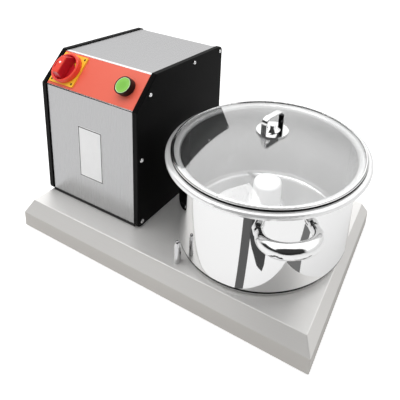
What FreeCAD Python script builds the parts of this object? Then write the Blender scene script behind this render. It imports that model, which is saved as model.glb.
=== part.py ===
import FreeCAD, Part
import math
import os
import re
import Sketcher

# Electric onion chopper: a folded steel tray carries a motor housing at the left and a lidded
# steel pot at the right. A belt under the tray turns a vertical shaft, and the shaft turns a
# plastic hub with two curved blades inside the pot.
# Millimetres, +Z up. The origin is on the ground, under the middle of the whole footprint.

os.makedirs("parts", exist_ok=True)
doc = FreeCAD.newDocument("OnionChopper")
sheet = doc.addObject("Spreadsheet::Sheet", "Sizes")

SIZES = [
    # Tray, its bottom cover and feet
    ("tray_length", 580, "tray along X, outside"),
    ("tray_width", 340, "tray along Y, outside"),
    ("tray_skirt", 27.5, "height of the upright skirt"),
    ("tray_slope_run", 12.5, "width of the sloped band, seen from above"),
    ("tray_slope_drop", 23.5, "height of the sloped band"),
    ("tray_sheet", 1.5, "steel sheet of the tray"),
    ("tray_bend", 2.2, "outer bend radius of the tray"),
    ("tray_lip", 16, "width of the lip turned in under the skirt"),
    ("cover_sheet", 1.2, "steel sheet of the bottom cover"),
    ("cover_inset", 4, "bottom cover's edge inside the skirt's face"),
    ("cover_corner", 6, "rounded corner of the bottom cover"),
    ("foot_height", 3, "rubber foot below the bottom cover"),
    ("foot_radius", 14, "rubber foot at its top"),
    ("foot_taper", 1.5, "rubber foot, narrower at its bottom"),
    ("foot_hole", 3, "screw hole of a foot"),
    ("foot_inset", 22, "foot centre from the tray's sides"),
    # Motor housing
    ("housing_offset", 171.75, "housing centre left of the tray centre"),
    ("housing_width", 224, "over the two side panels"),
    ("housing_depth", 245, "front sheet to back sheet, outside"),
    ("front_setback", 52.2, "front sheet behind the tray's front"),
    ("front_height", 224.5, "front sheet, from the tray to the slope"),
    ("slope_run", 45.3, "control slope along Y"),
    ("slope_rise", 52.5, "control slope along Z"),
    ("housing_sheet", 1.5, "steel sheet of the housing"),
    ("sheet_bend", 2.5, "outer bend radius of the housing sheet"),
    ("sheet_gap", 1.6, "gap under the front sheet and at the slope's lower edge"),
    ("panel_thickness", 10, "side panel"),
    ("panel_proud", 2, "side panel beyond the sheets"),
    ("panel_corner", 9, "rounded corner of a side panel"),
    ("panel_edge", 1.2, "bevel round a side panel's outer face"),
    ("screw_inset", 7.5, "panel screw from the sheets' outside"),
    ("screw_low", 10, "lowest panel screws above the tray"),
    ("screw_high", 133.5, "second front screw above the tray"),
    ("slope_screw_up", 36, "slope screw from the slope's lower edge"),
    ("top_screw_back", 149.8, "top screw behind the front sheet"),
    ("screw_grip", 6, "panel screw beyond the panel"),
    ("panel_screw_radius", 2, "panel screw shank"),
    ("panel_head_radius", 3.8, "panel screw head"),
    ("panel_head_height", 2.2, "panel screw head"),
    ("head_rim", 0.6, "straight edge of a panel screw's head"),
    ("block_length", 10, "corner block along X"),
    ("sheet_fold", 14, "folded edge of the front sheet"),
    ("vent_length", 58, "vent slot in the back sheet"),
    ("vent_slot", 4, "height of a vent slot"),
    ("vent_pitch", 11, "from one vent slot to the next"),
    ("vent_low", 120, "lowest vent slot above the tray"),
    ("vent_offset", 42, "middle of a row of vents from the housing centre"),
    ("vent_count", 7, "vent slots above each other"),
    # Controls
    ("overlay_sheet", 0.8, "control overlay"),
    ("overlay_margin", 1.4, "steel left bare at the slope's edges"),
    ("overlay_top_margin", 2.2, "steel left bare along the slope's upper edge"),
    ("isolator_side", 58, "square isolator plate"),
    ("isolator_offset", 68.5, "isolator axis left of the housing centre"),
    ("isolator_up", 34.9, "isolator axis from the slope's lower edge"),
    ("isolator_sheet", 3, "isolator plate thickness"),
    ("isolator_corner", 2.5, "rounded corner of the isolator plate"),
    ("isolator_hole", 2.2, "screw recess of the isolator plate"),
    ("isolator_hole_depth", 1.5, "depth of a screw recess"),
    ("isolator_hole_circle", 34, "screw recesses from the plate's middle"),
    ("isolator_neck", 9.5, "isolator neck through the slope"),
    ("isolator_body", 40, "isolator switch body across"),
    ("isolator_frame", 8, "square head of the switch body"),
    ("isolator_grasp", 40, "square shaft inside the switch body"),
    ("knob_radius", 27.3, "isolator knob ring, outside"),
    ("knob_wall", 4.2, "isolator knob ring wall"),
    ("knob_ring_height", 10.2, "isolator knob ring"),
    ("knob_floor", 2.6, "floor inside the knob ring"),
    ("knob_height", 23.5, "isolator knob over its grip"),
    ("knob_taper", 2, "slant of the ring's inner wall"),
    ("knob_edge", 1.5, "rounded edge of the ring"),
    ("grip_top_half", 15, "half the grip's length at its top"),
    ("grip_edge", 1.5, "rounded edge of the grip"),
    ("lock_circle", 14, "padlock slot's inner radius"),
    ("lock_slot", 4.5, "padlock slot across"),
    ("lock_turn", 20, "padlock slot's first end, degrees"),
    ("lock_sweep", 42, "padlock slot's length, degrees"),
    ("grip_width", 13, "isolator grip"),
    ("key_side", 7, "square shaft of the isolator"),
    ("key_depth", 12, "square shaft inside the knob"),
    ("shaft_bevel", 0.5, "bevelled edge of the square shaft"),
    ("turn_gap", 0.3, "clearance beside and under the controls"),
    ("isolator_depth", 46, "isolator switch body behind the slope"),
    ("button_offset", 69.1, "button axis right of the housing centre"),
    ("button_up", 34.5, "button axis from the slope's lower edge"),
    ("collar_radius", 15.8, "button collar, outside"),
    ("collar_rim", 1.4, "button collar across its rim"),
    ("collar_foot", 1.2, "bevel at the collar's foot"),
    ("collar_edge", 0.8, "rounded edge of the collar"),
    ("collar_height", 15, "button collar"),
    ("button_neck", 11, "collar neck through the slope"),
    ("neck_depth", 14, "collar neck behind the slope"),
    ("cap_height", 6.5, "button cap"),
    ("cap_edge", 1.2, "rounded edge of the cap"),
    ("button_sunk", 0.5, "cap below the collar's rim"),
    ("stem_reach", 6, "stem inside the contact block"),
    ("contact_side", 30, "contact block across"),
    ("contact_depth", 36, "contact block behind the collar neck"),
    ("contact_step", 8, "step in the contact block"),
    ("button_stem", 5, "button stem"),
    ("button_travel", 3, "button stroke"),
    # Pot
    ("flange_gap", 8.55, "pot flange from the housing's right panel"),
    ("pot_offset_y", 3.6, "pot axis behind the tray centre"),
    ("pot_radius", 155, "pot wall, outside"),
    ("pot_wall", 1.2, "pot sheet"),
    ("pot_height", 166, "pot from the tray to the top of its flange"),
    ("pot_corner", 9, "pot's bottom corner, outside"),
    ("pot_foot", 7, "ring that the pot stands on"),
    ("pot_recess", 4.5, "pot's bottom above the tray"),
    ("foot_lean", 45, "slant between foot ring and floor, degrees"),
    ("flare_radius", 6, "bend between wall and flange"),
    ("flange_width", 24, "pot flange beyond the pot's wall"),
    ("flange_roll", 4, "rolled edge of the flange"),
    ("flange_drop", 7, "flange's edge turned down"),
    ("tube_radius", 21.5, "tube in the middle of the pot, outside"),
    ("tube_height", 68, "tube above the tray"),
    ("handle_turn", -54.4, "front pot handle, angle round the pot from +X"),
    ("handle_rise", 12.6, "pot handle tilted up, degrees"),
    ("handle_drop", 40, "pot handle at the wall, below the flange"),
    ("handle_half", 40.7, "half the distance between the handle's legs"),
    ("handle_reach", 56.6, "handle's centreline out of the wall"),
    ("handle_tube", 11, "handle radius at its outer end"),
    ("handle_leg", 4.6, "handle radius at its two ends"),
    ("handle_flat", 3, "half the straight stretch at the handle's outer end"),
    ("handle_root", 14, "handle leg drawn inwards before it is cut by the wall"),
    ("handle_collar", 8.4, "collar round a handle leg"),
    ("handle_collar_length", 5, "collar out of the wall"),
    ("pin_radius", 5.6, "guide pin at its foot"),
    ("pin_tip_radius", 4.3, "guide pin under its round tip"),
    ("pin_height", 41, "guide pin above the tray"),
    ("pin_taper", 9, "tapered end of a guide pin"),
    ("pin_thread", 3, "guide pin's thread through the tray"),
    ("pin_thread_length", 6, "guide pin's thread below the tray's face"),
    ("pin_clearance", 14, "guide pin's axis from the pot's wall"),
    ("pin_inset", 19.5, "rear guide pin from the tray's back edge"),
    # Lid, heights above the pot flange
    ("lid_gap", 0.2, "lid seal above the pot flange"),
    ("seal_out", 1.8, "lid seal beyond the steel rim"),
    ("seal_wall", 1.6, "lid seal wall outside the rim"),
    ("seal_in", 1.4, "lid seal seen inside the rim"),
    ("seal_lip", 0.8, "lid seal under the rim and the glass"),
    ("seal_height", 2.8, "lid seal"),
    ("rim_inset", 10.3, "steel rim inside the edge of the pot flange"),
    ("rim_sheet", 0.9, "steel rim"),
    ("rim_width", 2.4, "steel rim across its top"),
    ("rim_height", 4.6, "steel rim"),
    ("rim_edge", 0.6, "rounded edge of the rim"),
    ("lid_fit", 0.3, "glass in its rim"),
    ("glass_thickness", 3.2, "lid glass"),
    ("glass_seat", 0.3, "glass above the seal"),
    ("glass_bevel", 1, "lean of the glass's lower inner edge"),
    ("dome_inset", 4.5, "edge of the glass dome inside the rim"),
    ("dome_rise", 24.4, "rise of the glass dome"),
    ("saucer_radius", 28.6, "plate under the lid's handle"),
    ("saucer_height", 2.2, "saucer edge above the glass"),
    ("saucer_gap", 0.1, "saucer and washer from the glass"),
    ("cone_radius", 14, "raised middle of the saucer at its foot"),
    ("cone_top_radius", 9, "raised middle of the saucer at its top"),
    ("cone_height", 5, "raised middle of the saucer"),
    ("lid_bore", 5, "hole in the middle of the glass"),
    ("knob_bolt", 3.2, "bolt hole of the saucer"),
    ("knob_nut", 5, "head of the lid bolt"),
    ("nut_height", 3.5, "head of the lid bolt"),
    ("bolt_out_radius", 7, "washer under the glass"),
    ("bolt_out", 3, "washer and nut under the glass"),
    ("arch_half", 26.3, "half the lid handle's span"),
    ("arch_height", 30, "lid handle above its saucer"),
    ("arch_width", 11, "lid handle strap"),
    ("arch_strap", 3.4, "lid handle strap thickness"),
    ("arch_corner", 12, "lid handle outer corner"),
    ("arch_edge", 0.7, "bevelled edge of the strap"),
    ("arch_turn", 78, "lid handle, angle from +X"),
    # Drive under the tray and through the pot
    ("shaft_radius", 7.5, "drive shaft"),
    ("shaft_shoulder", 9.4, "drive shaft between its bearings"),
    ("shaft_drop", 47, "drive shaft below the tray's face"),
    ("shaft_out", 1.5, "round shaft above the bearing neck"),
    ("head_gap", 0.5, "drive head below the hub's crown"),
    ("head_bevel", 1, "bevel on the drive head"),
    ("bearing_radius", 16, "bearing seat"),
    ("bearing_width", 9, "bearing"),
    ("bearing_room", 1.5, "room round a shaft between its bearings"),
    ("seal_room", 5, "shaft seal"),
    ("seal_dish", 2, "dished top of the shaft seal"),
    ("running_gap", 0.05, "shaft in its bearing, on the radius"),
    ("fit_gap", 0.1, "fixed piece in its seat, on the radius"),
    ("free_gap", 0.8, "tube to bearing neck and hub bore, on the radius"),
    ("neck_radius", 19.5, "neck of the bearing housing"),
    ("neck_height", 64, "neck above the tray"),
    ("bearing_flange_radius", 42, "flange of the bearing housing"),
    ("bearing_flange", 8, "flange thickness"),
    ("lower_seat", 24, "bearing housing below the tray's face"),
    ("bolt_radius", 3, "bolts of bearing housing and motor"),
    ("bolt_turn", 45, "first bolt of a ring of four, degrees"),
    ("bearing_bolt_circle", 32, "bearing housing bolts from the axis"),
    ("large_pitch", 48, "drive pulley pitch radius"),
    ("small_pitch", 31, "motor pulley pitch radius"),
    ("belt_height", 8, "belt section"),
    ("belt_half", 5.8, "half the belt's outer width"),
    ("belt_inner_half", 3.4, "half the belt's inner width"),
    ("belt_gap", 0.35, "belt to groove"),
    ("belt_level", 35.5, "belt's middle below the tray's face"),
    ("pulley_half", 8.5, "half the pulley width"),
    ("groove_depth", 1.5, "groove floor below the belt"),
    ("pulley_lip", 1, "pulley beyond the belt"),
    ("pulley_rim", 4, "pulley rim under its groove"),
    ("pulley_boss", 6, "pulley boss round its shaft"),
    ("pulley_web", 5, "pulley web"),
    # Motor, heights above the tray
    ("motor_plate_side", 140, "motor plate"),
    ("motor_plate_sheet", 6, "motor plate"),
    ("motor_plate_corner", 12, "rounded corner of the motor plate"),
    ("motor_bolt_circle", 85, "motor bolts from the motor's axis"),
    ("motor_spigot", 40, "motor spigot in the tray"),
    ("spigot_out", 2, "motor spigot below the tray sheet"),
    ("motor_radius", 60, "motor casing"),
    ("fin_height", 4, "cooling fin"),
    ("fin_sheet", 2.4, "cooling fin"),
    ("fin_end", 6, "cooling fins end before the shields"),
    ("fin_count", 20, "cooling fins"),
    ("shield_height", 16, "motor end shield"),
    ("casing_height", 104, "motor casing"),
    ("motor_shaft_radius", 8, "motor shaft"),
    ("motor_shaft_end", 2, "motor shaft below its pulley"),
    ("key_width", 5, "keyway of the motor shaft"),
    ("keyway_depth", 3, "keyway of the motor shaft"),
    ("fan_radius", 48, "cooling fan"),
    ("fan_sheet", 2, "fan disc and vanes"),
    ("fan_boss", 6, "fan boss round the shaft"),
    ("fan_up", 3, "fan above the upper shield"),
    ("fan_height", 16, "fan"),
    ("vane_count", 8, "fan vanes"),
    ("fan_cover_height", 34, "fan cover"),
    ("fan_cover_sheet", 1.5, "fan cover"),
    ("cover_overlap", 7, "fan cover over the upper shield"),
    ("grille_start", 14, "inner end of a grille slot"),
    ("grille_end", 8, "outer end of a grille slot, inside the cover's edge"),
    ("grille_slot", 5, "grille slot across"),
    ("grille_count", 12, "grille slots"),
    # Blades
    ("hub_radius", 27, "hub at its foot"),
    ("hub_waist", 26.2, "hub above the upper blade"),
    ("hub_top_radius", 25.4, "hub at its top"),
    ("hub_top", 92.4, "hub top above the tray"),
    ("hub_edge", 4, "round edge of the hub's top"),
    ("hub_crown", 6, "plastic over the steel insert"),
    ("tube_clearance", 2, "hub's socket above the pot's tube"),
    ("blade_sheet", 2.2, "blade"),
    ("blade_clearance", 5.5, "blade tip to the pot wall"),
    ("blade_floor_gap", 2.4, "lower blade above the pot's floor"),
    ("upper_blade_height", 42, "upper blade above the tray"),
    ("blade_ring", 6, "blade ring round the hub"),
    ("blade_root", 13, "half the blade's width at the hub"),
    ("blade_sweep", 42, "blade tip behind its radius line"),
    ("blade_turn", 113, "lower blade, angle from +X"),
    ("blade_start", 23, "blade's inner end"),
    ("blade_front_bend", 150, "bend of the cutting edge"),
    ("blade_back_bend", 130, "bend of the blade's back"),
    ("blade_tip", 5, "blade's tip, along its radius line"),
    ("blade_tip_side", 4, "blade's tip, across"),
    ("blade_edge", 0.6, "blade left thick at its cutting edge"),
    ("blade_grind", 6, "ground face along the cutting edge"),
    ("insert_radius", 11, "steel drive insert"),
    ("hex_half", 6.4, "half across flats of the drive head"),
    ("hex_gap", 0.25, "drive head in its insert"),
    # Electrical pieces
    ("gland_radius", 9, "cable gland body"),
    ("gland_bore", 4, "cable gland bore"),
    ("gland_height", 30, "cable gland above the tray"),
    ("gland_offset", 40, "cable gland right of the housing centre"),
    ("gland_inside", 10, "cable gland inside the back sheet"),
    ("gland_collar", 10.5, "dome nut of the gland"),
    ("gland_out", 14, "dome nut's straight part"),
    ("gland_dome", 18, "dome nut's end"),
    ("gland_mouth", 1, "wall of the dome nut round the cable"),
    ("gland_flats", 11.5, "half across flats of the gland's nuts"),
    ("gland_nut", 5, "gland's nuts"),
    ("capacitor_radius", 18, "run capacitor"),
    ("capacitor_height", 84, "run capacitor"),
    ("capacitor_cap", 14, "terminal cap of the capacitor"),
    ("capacitor_end", 8, "terminal cap of the capacitor"),
    ("contactor_width", 45, "contactor"),
    ("contactor_height", 78, "contactor"),
    ("contactor_depth", 42, "contactor"),
    ("contactor_step", 12, "stepped front of the contactor"),
    ("contactor_end", 18, "stepped front of the contactor"),
    ("inner_space", 3, "electrical pieces from the sheets"),
    # Cuts and joined shapes
    ("overcut", 1, "a cut's reach past the piece"),
    ("root", 1, "a fin's or vane's start inside the piece that it stands on"),
]

for row, (name, value, meaning) in enumerate(SIZES, start=1):
    sheet.set("A%d" % row, meaning)
    sheet.set("B%d" % row, str(value))
    sheet.setAlias("B%d" % row, name)
doc.recompute()

# Places and sizes that follow from the sizes above
FOLLOWING = {
    "tray_lift": "foot_height + cover_sheet",
    "tray_top": "tray_lift + tray_skirt + tray_slope_drop",
    "flange_radius": "pot_radius + flange_width",
    "belt_span": "housing_width/2 + flange_gap + flange_radius",
    "pot_offset_x": "belt_span - housing_offset",
    "tray_x": "(tray_length/2 - pot_offset_x - flange_radius)/2",
    "tray_y": "-pot_offset_y",
    "pot_x": "tray_x + pot_offset_x",
    "motor_x": "tray_x - housing_offset",
    "front_y": "tray_y - tray_width/2 + front_setback",
    "inner_half": "housing_width/2 - panel_thickness",
    "head_rise": "panel_head_height - head_rim",
    "head_dome": "(panel_head_radius^2 + head_rise^2)/(2*head_rise)",
    "key_clear": "key_side/sqrt(2) + fit_gap",
    "collar_bore": "collar_radius - collar_rim",
    "button_under": "collar_height - button_sunk - cap_height",
    "housing_height": "front_height + slope_rise",
    "slope_angle": "atan2(slope_rise; slope_run)",
    "band_angle": "atan2(tray_slope_drop; tray_slope_run)",
    "band_foot_back": "tray_sheet*cos(band_angle)/(1 + sin(band_angle))",
    "band_top_back": "tray_sheet*sin(band_angle)/(1 + cos(band_angle))",
    "tray_height": "tray_skirt + tray_slope_drop",
    "inner_length": "tray_length/2 - tray_sheet",
    "inner_width": "tray_width/2 - tray_sheet",
    "slope_length": "sqrt(slope_run^2 + slope_rise^2)",
    "tube_bore": "tube_radius - pot_wall",
    "pot_floor": "pot_recess + pot_wall",
    "handle_height": "pot_height - handle_drop",
    "pin_circle": "pot_radius + pin_clearance",
    "pin_y": "tray_width/2 - pot_offset_y - pin_inset",
    "pin_x": "sqrt(pin_circle^2 - pin_y^2)",
    "lid_level": "tray_top + pot_height",
    "rim_radius": "flange_radius - rim_inset",
    "seal_radius": "rim_radius + seal_out",
    "dome_radius": "rim_radius - dome_inset",
    "rim_bottom": "lid_gap + seal_lip",
    "glass_bottom": "rim_bottom + glass_seat",
    "glass_top": "glass_bottom + glass_thickness",
    "dome_top": "glass_top + dome_rise",
    "dome_bend": "(dome_radius^2 + dome_rise^2)/(2*dome_rise)",
    "saucer_top": "dome_top + saucer_height",
    "belt_lean": "asin((large_pitch - small_pitch)/belt_span)",
    "belt_middle": "(belt_half + belt_inner_half)/2",
    "belt_taper": "(belt_half - belt_inner_half)/belt_height",
    "shield_base": "motor_plate_sheet",
    "casing_base": "shield_base + shield_height",
    "casing_top": "casing_base + casing_height",
    "upper_shield_top": "casing_top + shield_height",
    "motor_top": "upper_shield_top + fan_cover_height",
    "hub_bottom": "pot_floor + blade_floor_gap + blade_sheet",
    "hub_bore": "tube_radius + free_gap",
    "socket_floor": "tube_height + tube_clearance",
    "head_top": "hub_top - hub_crown",
    "blade_reach": "pot_radius - pot_wall - blade_clearance",
}


def full(formula):
    """A formula with every name written out down to the cells of the sheet."""
    def write_out(match):
        word = match.group(0)
        if word in FOLLOWING:
            return "(" + full(FOLLOWING[word]) + ")"
        if word in CELLS:
            return "Sizes." + word
        return word
    return re.sub(r"[a-z][a-z0-9_]*", write_out, str(formula))


CELLS = {name for name, value, meaning in SIZES}
# A turn of no degrees has no axis, so an axis is set with this angle before the sheet's own
AXIS_HOLDER = 30
LEAST_CUT = 0.01


def size(formula):
    """The value of a formula, as a plain number."""
    value = sheet.evalExpression(full(formula))
    return float(getattr(value, "Value", value))


def bind(thing, path, formula):
    thing.setExpression(path, full(formula))


def put(thing, x=0, y=0, z=0, axis=None, angle=0):
    """Places a sub-part, with its place bound to the sheet."""
    if axis is not None:
        turn = FreeCAD.Rotation(FreeCAD.Vector(*axis), AXIS_HOLDER)
        thing.Placement = FreeCAD.Placement(FreeCAD.Vector(), turn)
        bind(thing, "Placement.Rotation.Angle", angle)
    bind(thing, "Placement.Base.x", x)
    bind(thing, "Placement.Base.y", y)
    bind(thing, "Placement.Base.z", z)
    return thing


def new_body(label):
    body = doc.addObject("PartDesign::Body", label)
    body.Label = label
    body.AllowCompound = True
    return body


def new_sketch(body, role, level=0, x=None, axis=None, angle=0):
    """A sketch on one of the body's own origin planes, raised, moved and turned from it."""
    sketch = body.newObject("Sketcher::SketchObject", body.Name + "_outline")
    plane = [feature for feature in body.Origin.OriginFeatures if feature.Role == role][0]
    sketch.AttachmentSupport = (plane, [""])
    sketch.MapMode = "FlatFace"
    if axis is not None:
        turn = FreeCAD.Rotation(FreeCAD.Vector(*axis), AXIS_HOLDER)
        sketch.AttachmentOffset = FreeCAD.Placement(FreeCAD.Vector(), turn)
        bind(sketch, "AttachmentOffset.Rotation.Angle", angle)
    if x is not None:
        bind(sketch, "AttachmentOffset.Base.x", x)
    bind(sketch, "AttachmentOffset.Base.z", level)
    return sketch


def hold(sketch, kind, geometry, end, formula):
    """Holds one coordinate of a point at the value of a formula."""
    if str(formula) == "0":
        axis = -2 if kind == "DistanceX" else -1
        sketch.addConstraint(Sketcher.Constraint("PointOnObject", geometry, end, axis))
        return
    number = sketch.addConstraint(Sketcher.Constraint(kind, -1, 1, geometry, end, size(formula)))
    bind(sketch, "Constraints[%d]" % number, formula)


def outline(sketch, corners, closed=True):
    """An outline through corners (x, y). A corner (x, y, radius, side) starts an arc to the
    next one, with its centre on the left (side 1) or on the right (side -1) of the way."""
    spots = [FreeCAD.Vector(size(corner[0]), size(corner[1]), 0) for corner in corners]
    edges = []
    for number, corner in enumerate(corners if closed else corners[:-1]):
        start = spots[number]
        end = spots[(number + 1) % len(spots)]
        if len(corner) == 2:
            edges.append((sketch.addGeometry(Part.LineSegment(start, end), False), 1, 2))
            continue
        radius = size(corner[2])
        side = corner[3]
        across = end - start
        middle = (start + end) * 0.5
        left = FreeCAD.Vector(-across.y, across.x, 0)
        left.normalize()
        centre = middle + left * (side * math.sqrt(max(radius**2 - across.Length**2 / 4, 0)))
        first, last = (start, end) if side > 0 else (end, start)
        turns = [math.atan2(spot.y - centre.y, spot.x - centre.x) for spot in (first, last)]
        circle = Part.Circle(centre, FreeCAD.Vector(0, 0, 1), radius)
        edge = sketch.addGeometry(Part.ArcOfCircle(circle, turns[0], turns[1]), False)
        edges.append((edge, 1, 2) if side > 0 else (edge, 2, 1))
    if not closed:
        hold(sketch, "DistanceX", edges[-1][0], edges[-1][2], corners[-1][0])
        hold(sketch, "DistanceY", edges[-1][0], edges[-1][2], corners[-1][1])
    for number, (edge, begin, finish) in enumerate(edges):
        if closed or number > 0:
            before = edges[number - 1]
            sketch.addConstraint(Sketcher.Constraint("Coincident", before[0], before[2], edge, begin))
        hold(sketch, "DistanceX", edge, begin, corners[number][0])
        hold(sketch, "DistanceY", edge, begin, corners[number][1])
        if len(corners[number]) > 2:
            radius = corners[number][2]
            held = sketch.addConstraint(Sketcher.Constraint("Radius", edge, size(radius)))
            bind(sketch, "Constraints[%d]" % held, radius)


def circles(sketch, centres, radius):
    for x, y in centres:
        centre = FreeCAD.Vector(size(x), size(y), 0)
        circle = Part.Circle(centre, FreeCAD.Vector(0, 0, 1), size(radius))
        edge = sketch.addGeometry(circle, False)
        hold(sketch, "DistanceX", edge, 3, x)
        hold(sketch, "DistanceY", edge, 3, y)
        held = sketch.addConstraint(Sketcher.Constraint("Radius", edge, size(radius)))
        bind(sketch, "Constraints[%d]" % held, radius)


def rectangle(left, right, low, high):
    return [(left, low), (right, low), (right, high), (left, high)]


def polygon(count, radius, start=0):
    """Corners of a regular polygon about the sketch's origin."""
    steps = [start + 360 * number / count for number in range(count)]
    return [("(%s)*cos(%s)" % (radius, a), "(%s)*sin(%s)" % (radius, a)) for a in steps]


def pad(body, sketch, length, back=False, middle=False):
    feature = body.newObject("PartDesign::Pad", body.Name + "_pad")
    feature.Profile = sketch
    feature.Reversed = back
    if middle:
        feature.SideType = "Symmetric"
    bind(feature, "Length", length)
    return feature


def pocket(body, sketch, length, back=False, middle=False):
    """Cuts a sketch into the body, and checks that something was cut away."""
    doc.recompute()
    before = body.Shape.Volume
    feature = body.newObject("PartDesign::Pocket", body.Name + "_pocket")
    feature.Profile = sketch
    feature.Reversed = back
    if middle:
        feature.SideType = "Symmetric"
    bind(feature, "Length", length)
    doc.recompute()
    if body.Shape.Volume > before - LEAST_CUT:
        raise RuntimeError(body.Label + ": a pocket cuts nothing")
    return feature


def turned(body, corners):
    """Turns a profile of radius and height about the body's Z axis."""
    sketch = new_sketch(body, "XZ_Plane")
    outline(sketch, corners)
    feature = body.newObject("PartDesign::Revolution", body.Name + "_turned")
    feature.Profile = sketch
    feature.ReferenceAxis = (sketch, ["V_Axis"])
    feature.Angle = 360
    return feature


def edges_where(shape, test):
    """Names of the edges whose middle point passes a test."""
    names = []
    for number, edge in enumerate(shape.Edges, start=1):
        middle = edge.valueAt((edge.FirstParameter + edge.LastParameter) / 2)
        if test(edge, middle):
            names.append("Edge%d" % number)
    return names


def rounded(body, radius, test):
    """Rounds the edges of the body's last feature that pass a test."""
    doc.recompute()
    tip = body.Tip
    feature = body.newObject("PartDesign::Fillet", body.Name + "_fillet")
    feature.Base = (tip, edges_where(tip.Shape, test))
    bind(feature, "Radius", radius)
    return feature


def bevelled(body, width, test):
    doc.recompute()
    tip = body.Tip
    feature = body.newObject("PartDesign::Chamfer", body.Name + "_bevel")
    feature.Base = (tip, edges_where(tip.Shape, test))
    bind(feature, "Size", width)
    return feature


def near(value, formula):
    return abs(value - size(formula)) < 0.05


def runs(edge, axis):
    """True for a straight edge along X, Y or Z."""
    return getattr(edge.BoundBox, axis + "Length") > 0.99 * edge.Length


# Base: tray, bottom cover, feet and guide pins

def loft(body, kind, low, high):
    """A ruled loft between two rectangles, each (inset from the tray's outline, level)."""
    sketches = []
    for inset, level in (low, high):
        sketch = new_sketch(body, "XY_Plane", level)
        x = "(tray_length/2 - %s)" % inset
        y = "(tray_width/2 - %s)" % inset
        outline(sketch, rectangle("-" + x, x, "-" + y, y))
        sketches.append(sketch)
    feature = body.newObject(kind, body.Name + "_loft")
    feature.Profile = sketches[0]
    feature.Sections = [sketches[1]]
    feature.Ruled = True
    return feature


def bolt_ring(x, y, radius):
    """Four places on a circle about (x, y)."""
    turns = ["(bolt_turn + %d)" % turn for turn in (0, 90, 180, 270)]
    return [("%s + %s*cos(%s)" % (x, radius, turn), "%s + %s*sin(%s)" % (y, radius, turn))
            for turn in turns]


def make_tray():
    """The folded tray: upright skirt, sloped band, flat top, and a lip turned in below."""
    body = new_body("base_tray")
    half_x = "tray_length/2"
    half_y = "tray_width/2"
    skirt = new_sketch(body, "XY_Plane")
    outline(skirt, rectangle("-" + half_x, half_x, "-" + half_y, half_y))
    pad(body, skirt, "tray_skirt")
    loft(body, "PartDesign::AdditiveLoft", ("0", "tray_skirt"), ("tray_slope_run", "tray_height"))
    rounded(body, "tray_bend", lambda edge, middle: middle.z > size("tray_bend"))
    room = new_sketch(body, "XY_Plane")
    outline(room, rectangle("-inner_length", "inner_length", "-inner_width", "inner_width"))
    pocket(body, room, "tray_skirt - band_foot_back", back=True)
    loft(body, "PartDesign::SubtractiveLoft", ("tray_sheet", "tray_skirt - band_foot_back"),
         ("(tray_slope_run + band_top_back)", "tray_height - tray_sheet"))
    lip = new_sketch(body, "XY_Plane")
    outline(lip, rectangle("-inner_length", "inner_length", "-inner_width", "inner_width"))
    lip_x = "(inner_length - tray_lip)"
    lip_y = "(inner_width - tray_lip)"
    outline(lip, rectangle("-" + lip_x, lip_x, "-" + lip_y, lip_y))
    pad(body, lip, "tray_sheet")
    holes = new_sketch(body, "XY_Plane", "tray_height")
    circles(holes, [("pot_offset_x", "pot_offset_y")], "neck_radius + fit_gap")
    circles(holes, [("-housing_offset", "pot_offset_y")], "motor_spigot + fit_gap")
    circles(holes, bolt_ring("pot_offset_x", "pot_offset_y", "bearing_bolt_circle"), "bolt_radius + fit_gap")
    circles(holes, bolt_ring("-housing_offset", "pot_offset_y", "motor_bolt_circle"), "bolt_radius + fit_gap")
    circles(holes, [("pot_offset_x - pin_x", "pot_offset_y - pin_y"),
                    ("pot_offset_x + pin_x", "pot_offset_y + pin_y")], "pin_thread + fit_gap")
    pocket(body, holes, "tray_sheet + overcut")
    return put(body, "tray_x", "tray_y", "tray_lift")


def make_bottom_cover():
    """The flat sheet that closes the tray from below."""
    body = new_body("bottom_cover")
    sketch = new_sketch(body, "XY_Plane")
    x = "(tray_length/2 - cover_inset)"
    y = "(tray_width/2 - cover_inset)"
    outline(sketch, rectangle("-" + x, x, "-" + y, y))
    pad(body, sketch, "cover_sheet")
    rounded(body, "cover_corner", lambda edge, middle: runs(edge, "Z"))
    return put(body, "tray_x", "tray_y", "foot_height")


def make_feet():
    """Four rubber feet with a recess for their screw."""
    feet = []
    for number, (side_x, side_y) in enumerate(((-1, -1), (1, -1), (1, 1), (-1, 1)), start=1):
        body = new_body("foot_%d" % number)
        turned(body, [
            ("foot_hole", 0), ("foot_radius - foot_taper", 0), ("foot_radius", "foot_height"),
            ("foot_hole", "foot_height"),
        ])
        feet.append(put(body, "tray_x + %d*(tray_length/2 - foot_inset)" % side_x,
                        "tray_y + %d*(tray_width/2 - foot_inset)" % side_y))
    return feet


def make_guide_pins():
    """Two pins with round tips, on a line through the pot's axis."""
    pins = []
    for name, side in (("front_guide_pin", -1), ("rear_guide_pin", 1)):
        body = new_body(name)
        turned(body, [
            (0, "-pin_thread_length"), ("pin_thread", "-pin_thread_length"), ("pin_thread", 0),
            ("pin_radius", 0), ("pin_radius", "pin_height - pin_taper"),
            ("pin_tip_radius", "pin_height - pin_tip_radius", "pin_tip_radius", 1), (0, "pin_height"),
        ])
        pins.append(put(body, "pot_x + %d*pin_x" % side, "%d*pin_y" % side, "tray_top"))
    return pins


# Motor housing: side panels, sheets and screws

def side_corners(out):
    """Corners of the housing's side outline, at a distance outside the sheets. Each is (y, z)
    from the sheets' front and the tray's top."""
    front = "(-%s)" % out
    bend_low = "(front_height + %s*cos(slope_angle)/(1 + sin(slope_angle)))" % out
    bend_y = "(slope_run - %s*sin(slope_angle)/(1 + cos(slope_angle)))" % out
    top = "(housing_height + %s)" % out
    back = "(housing_depth + %s)" % out
    return [(front, 0), (back, 0), (back, top), (bend_y, top), (front, bend_low)]


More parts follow.
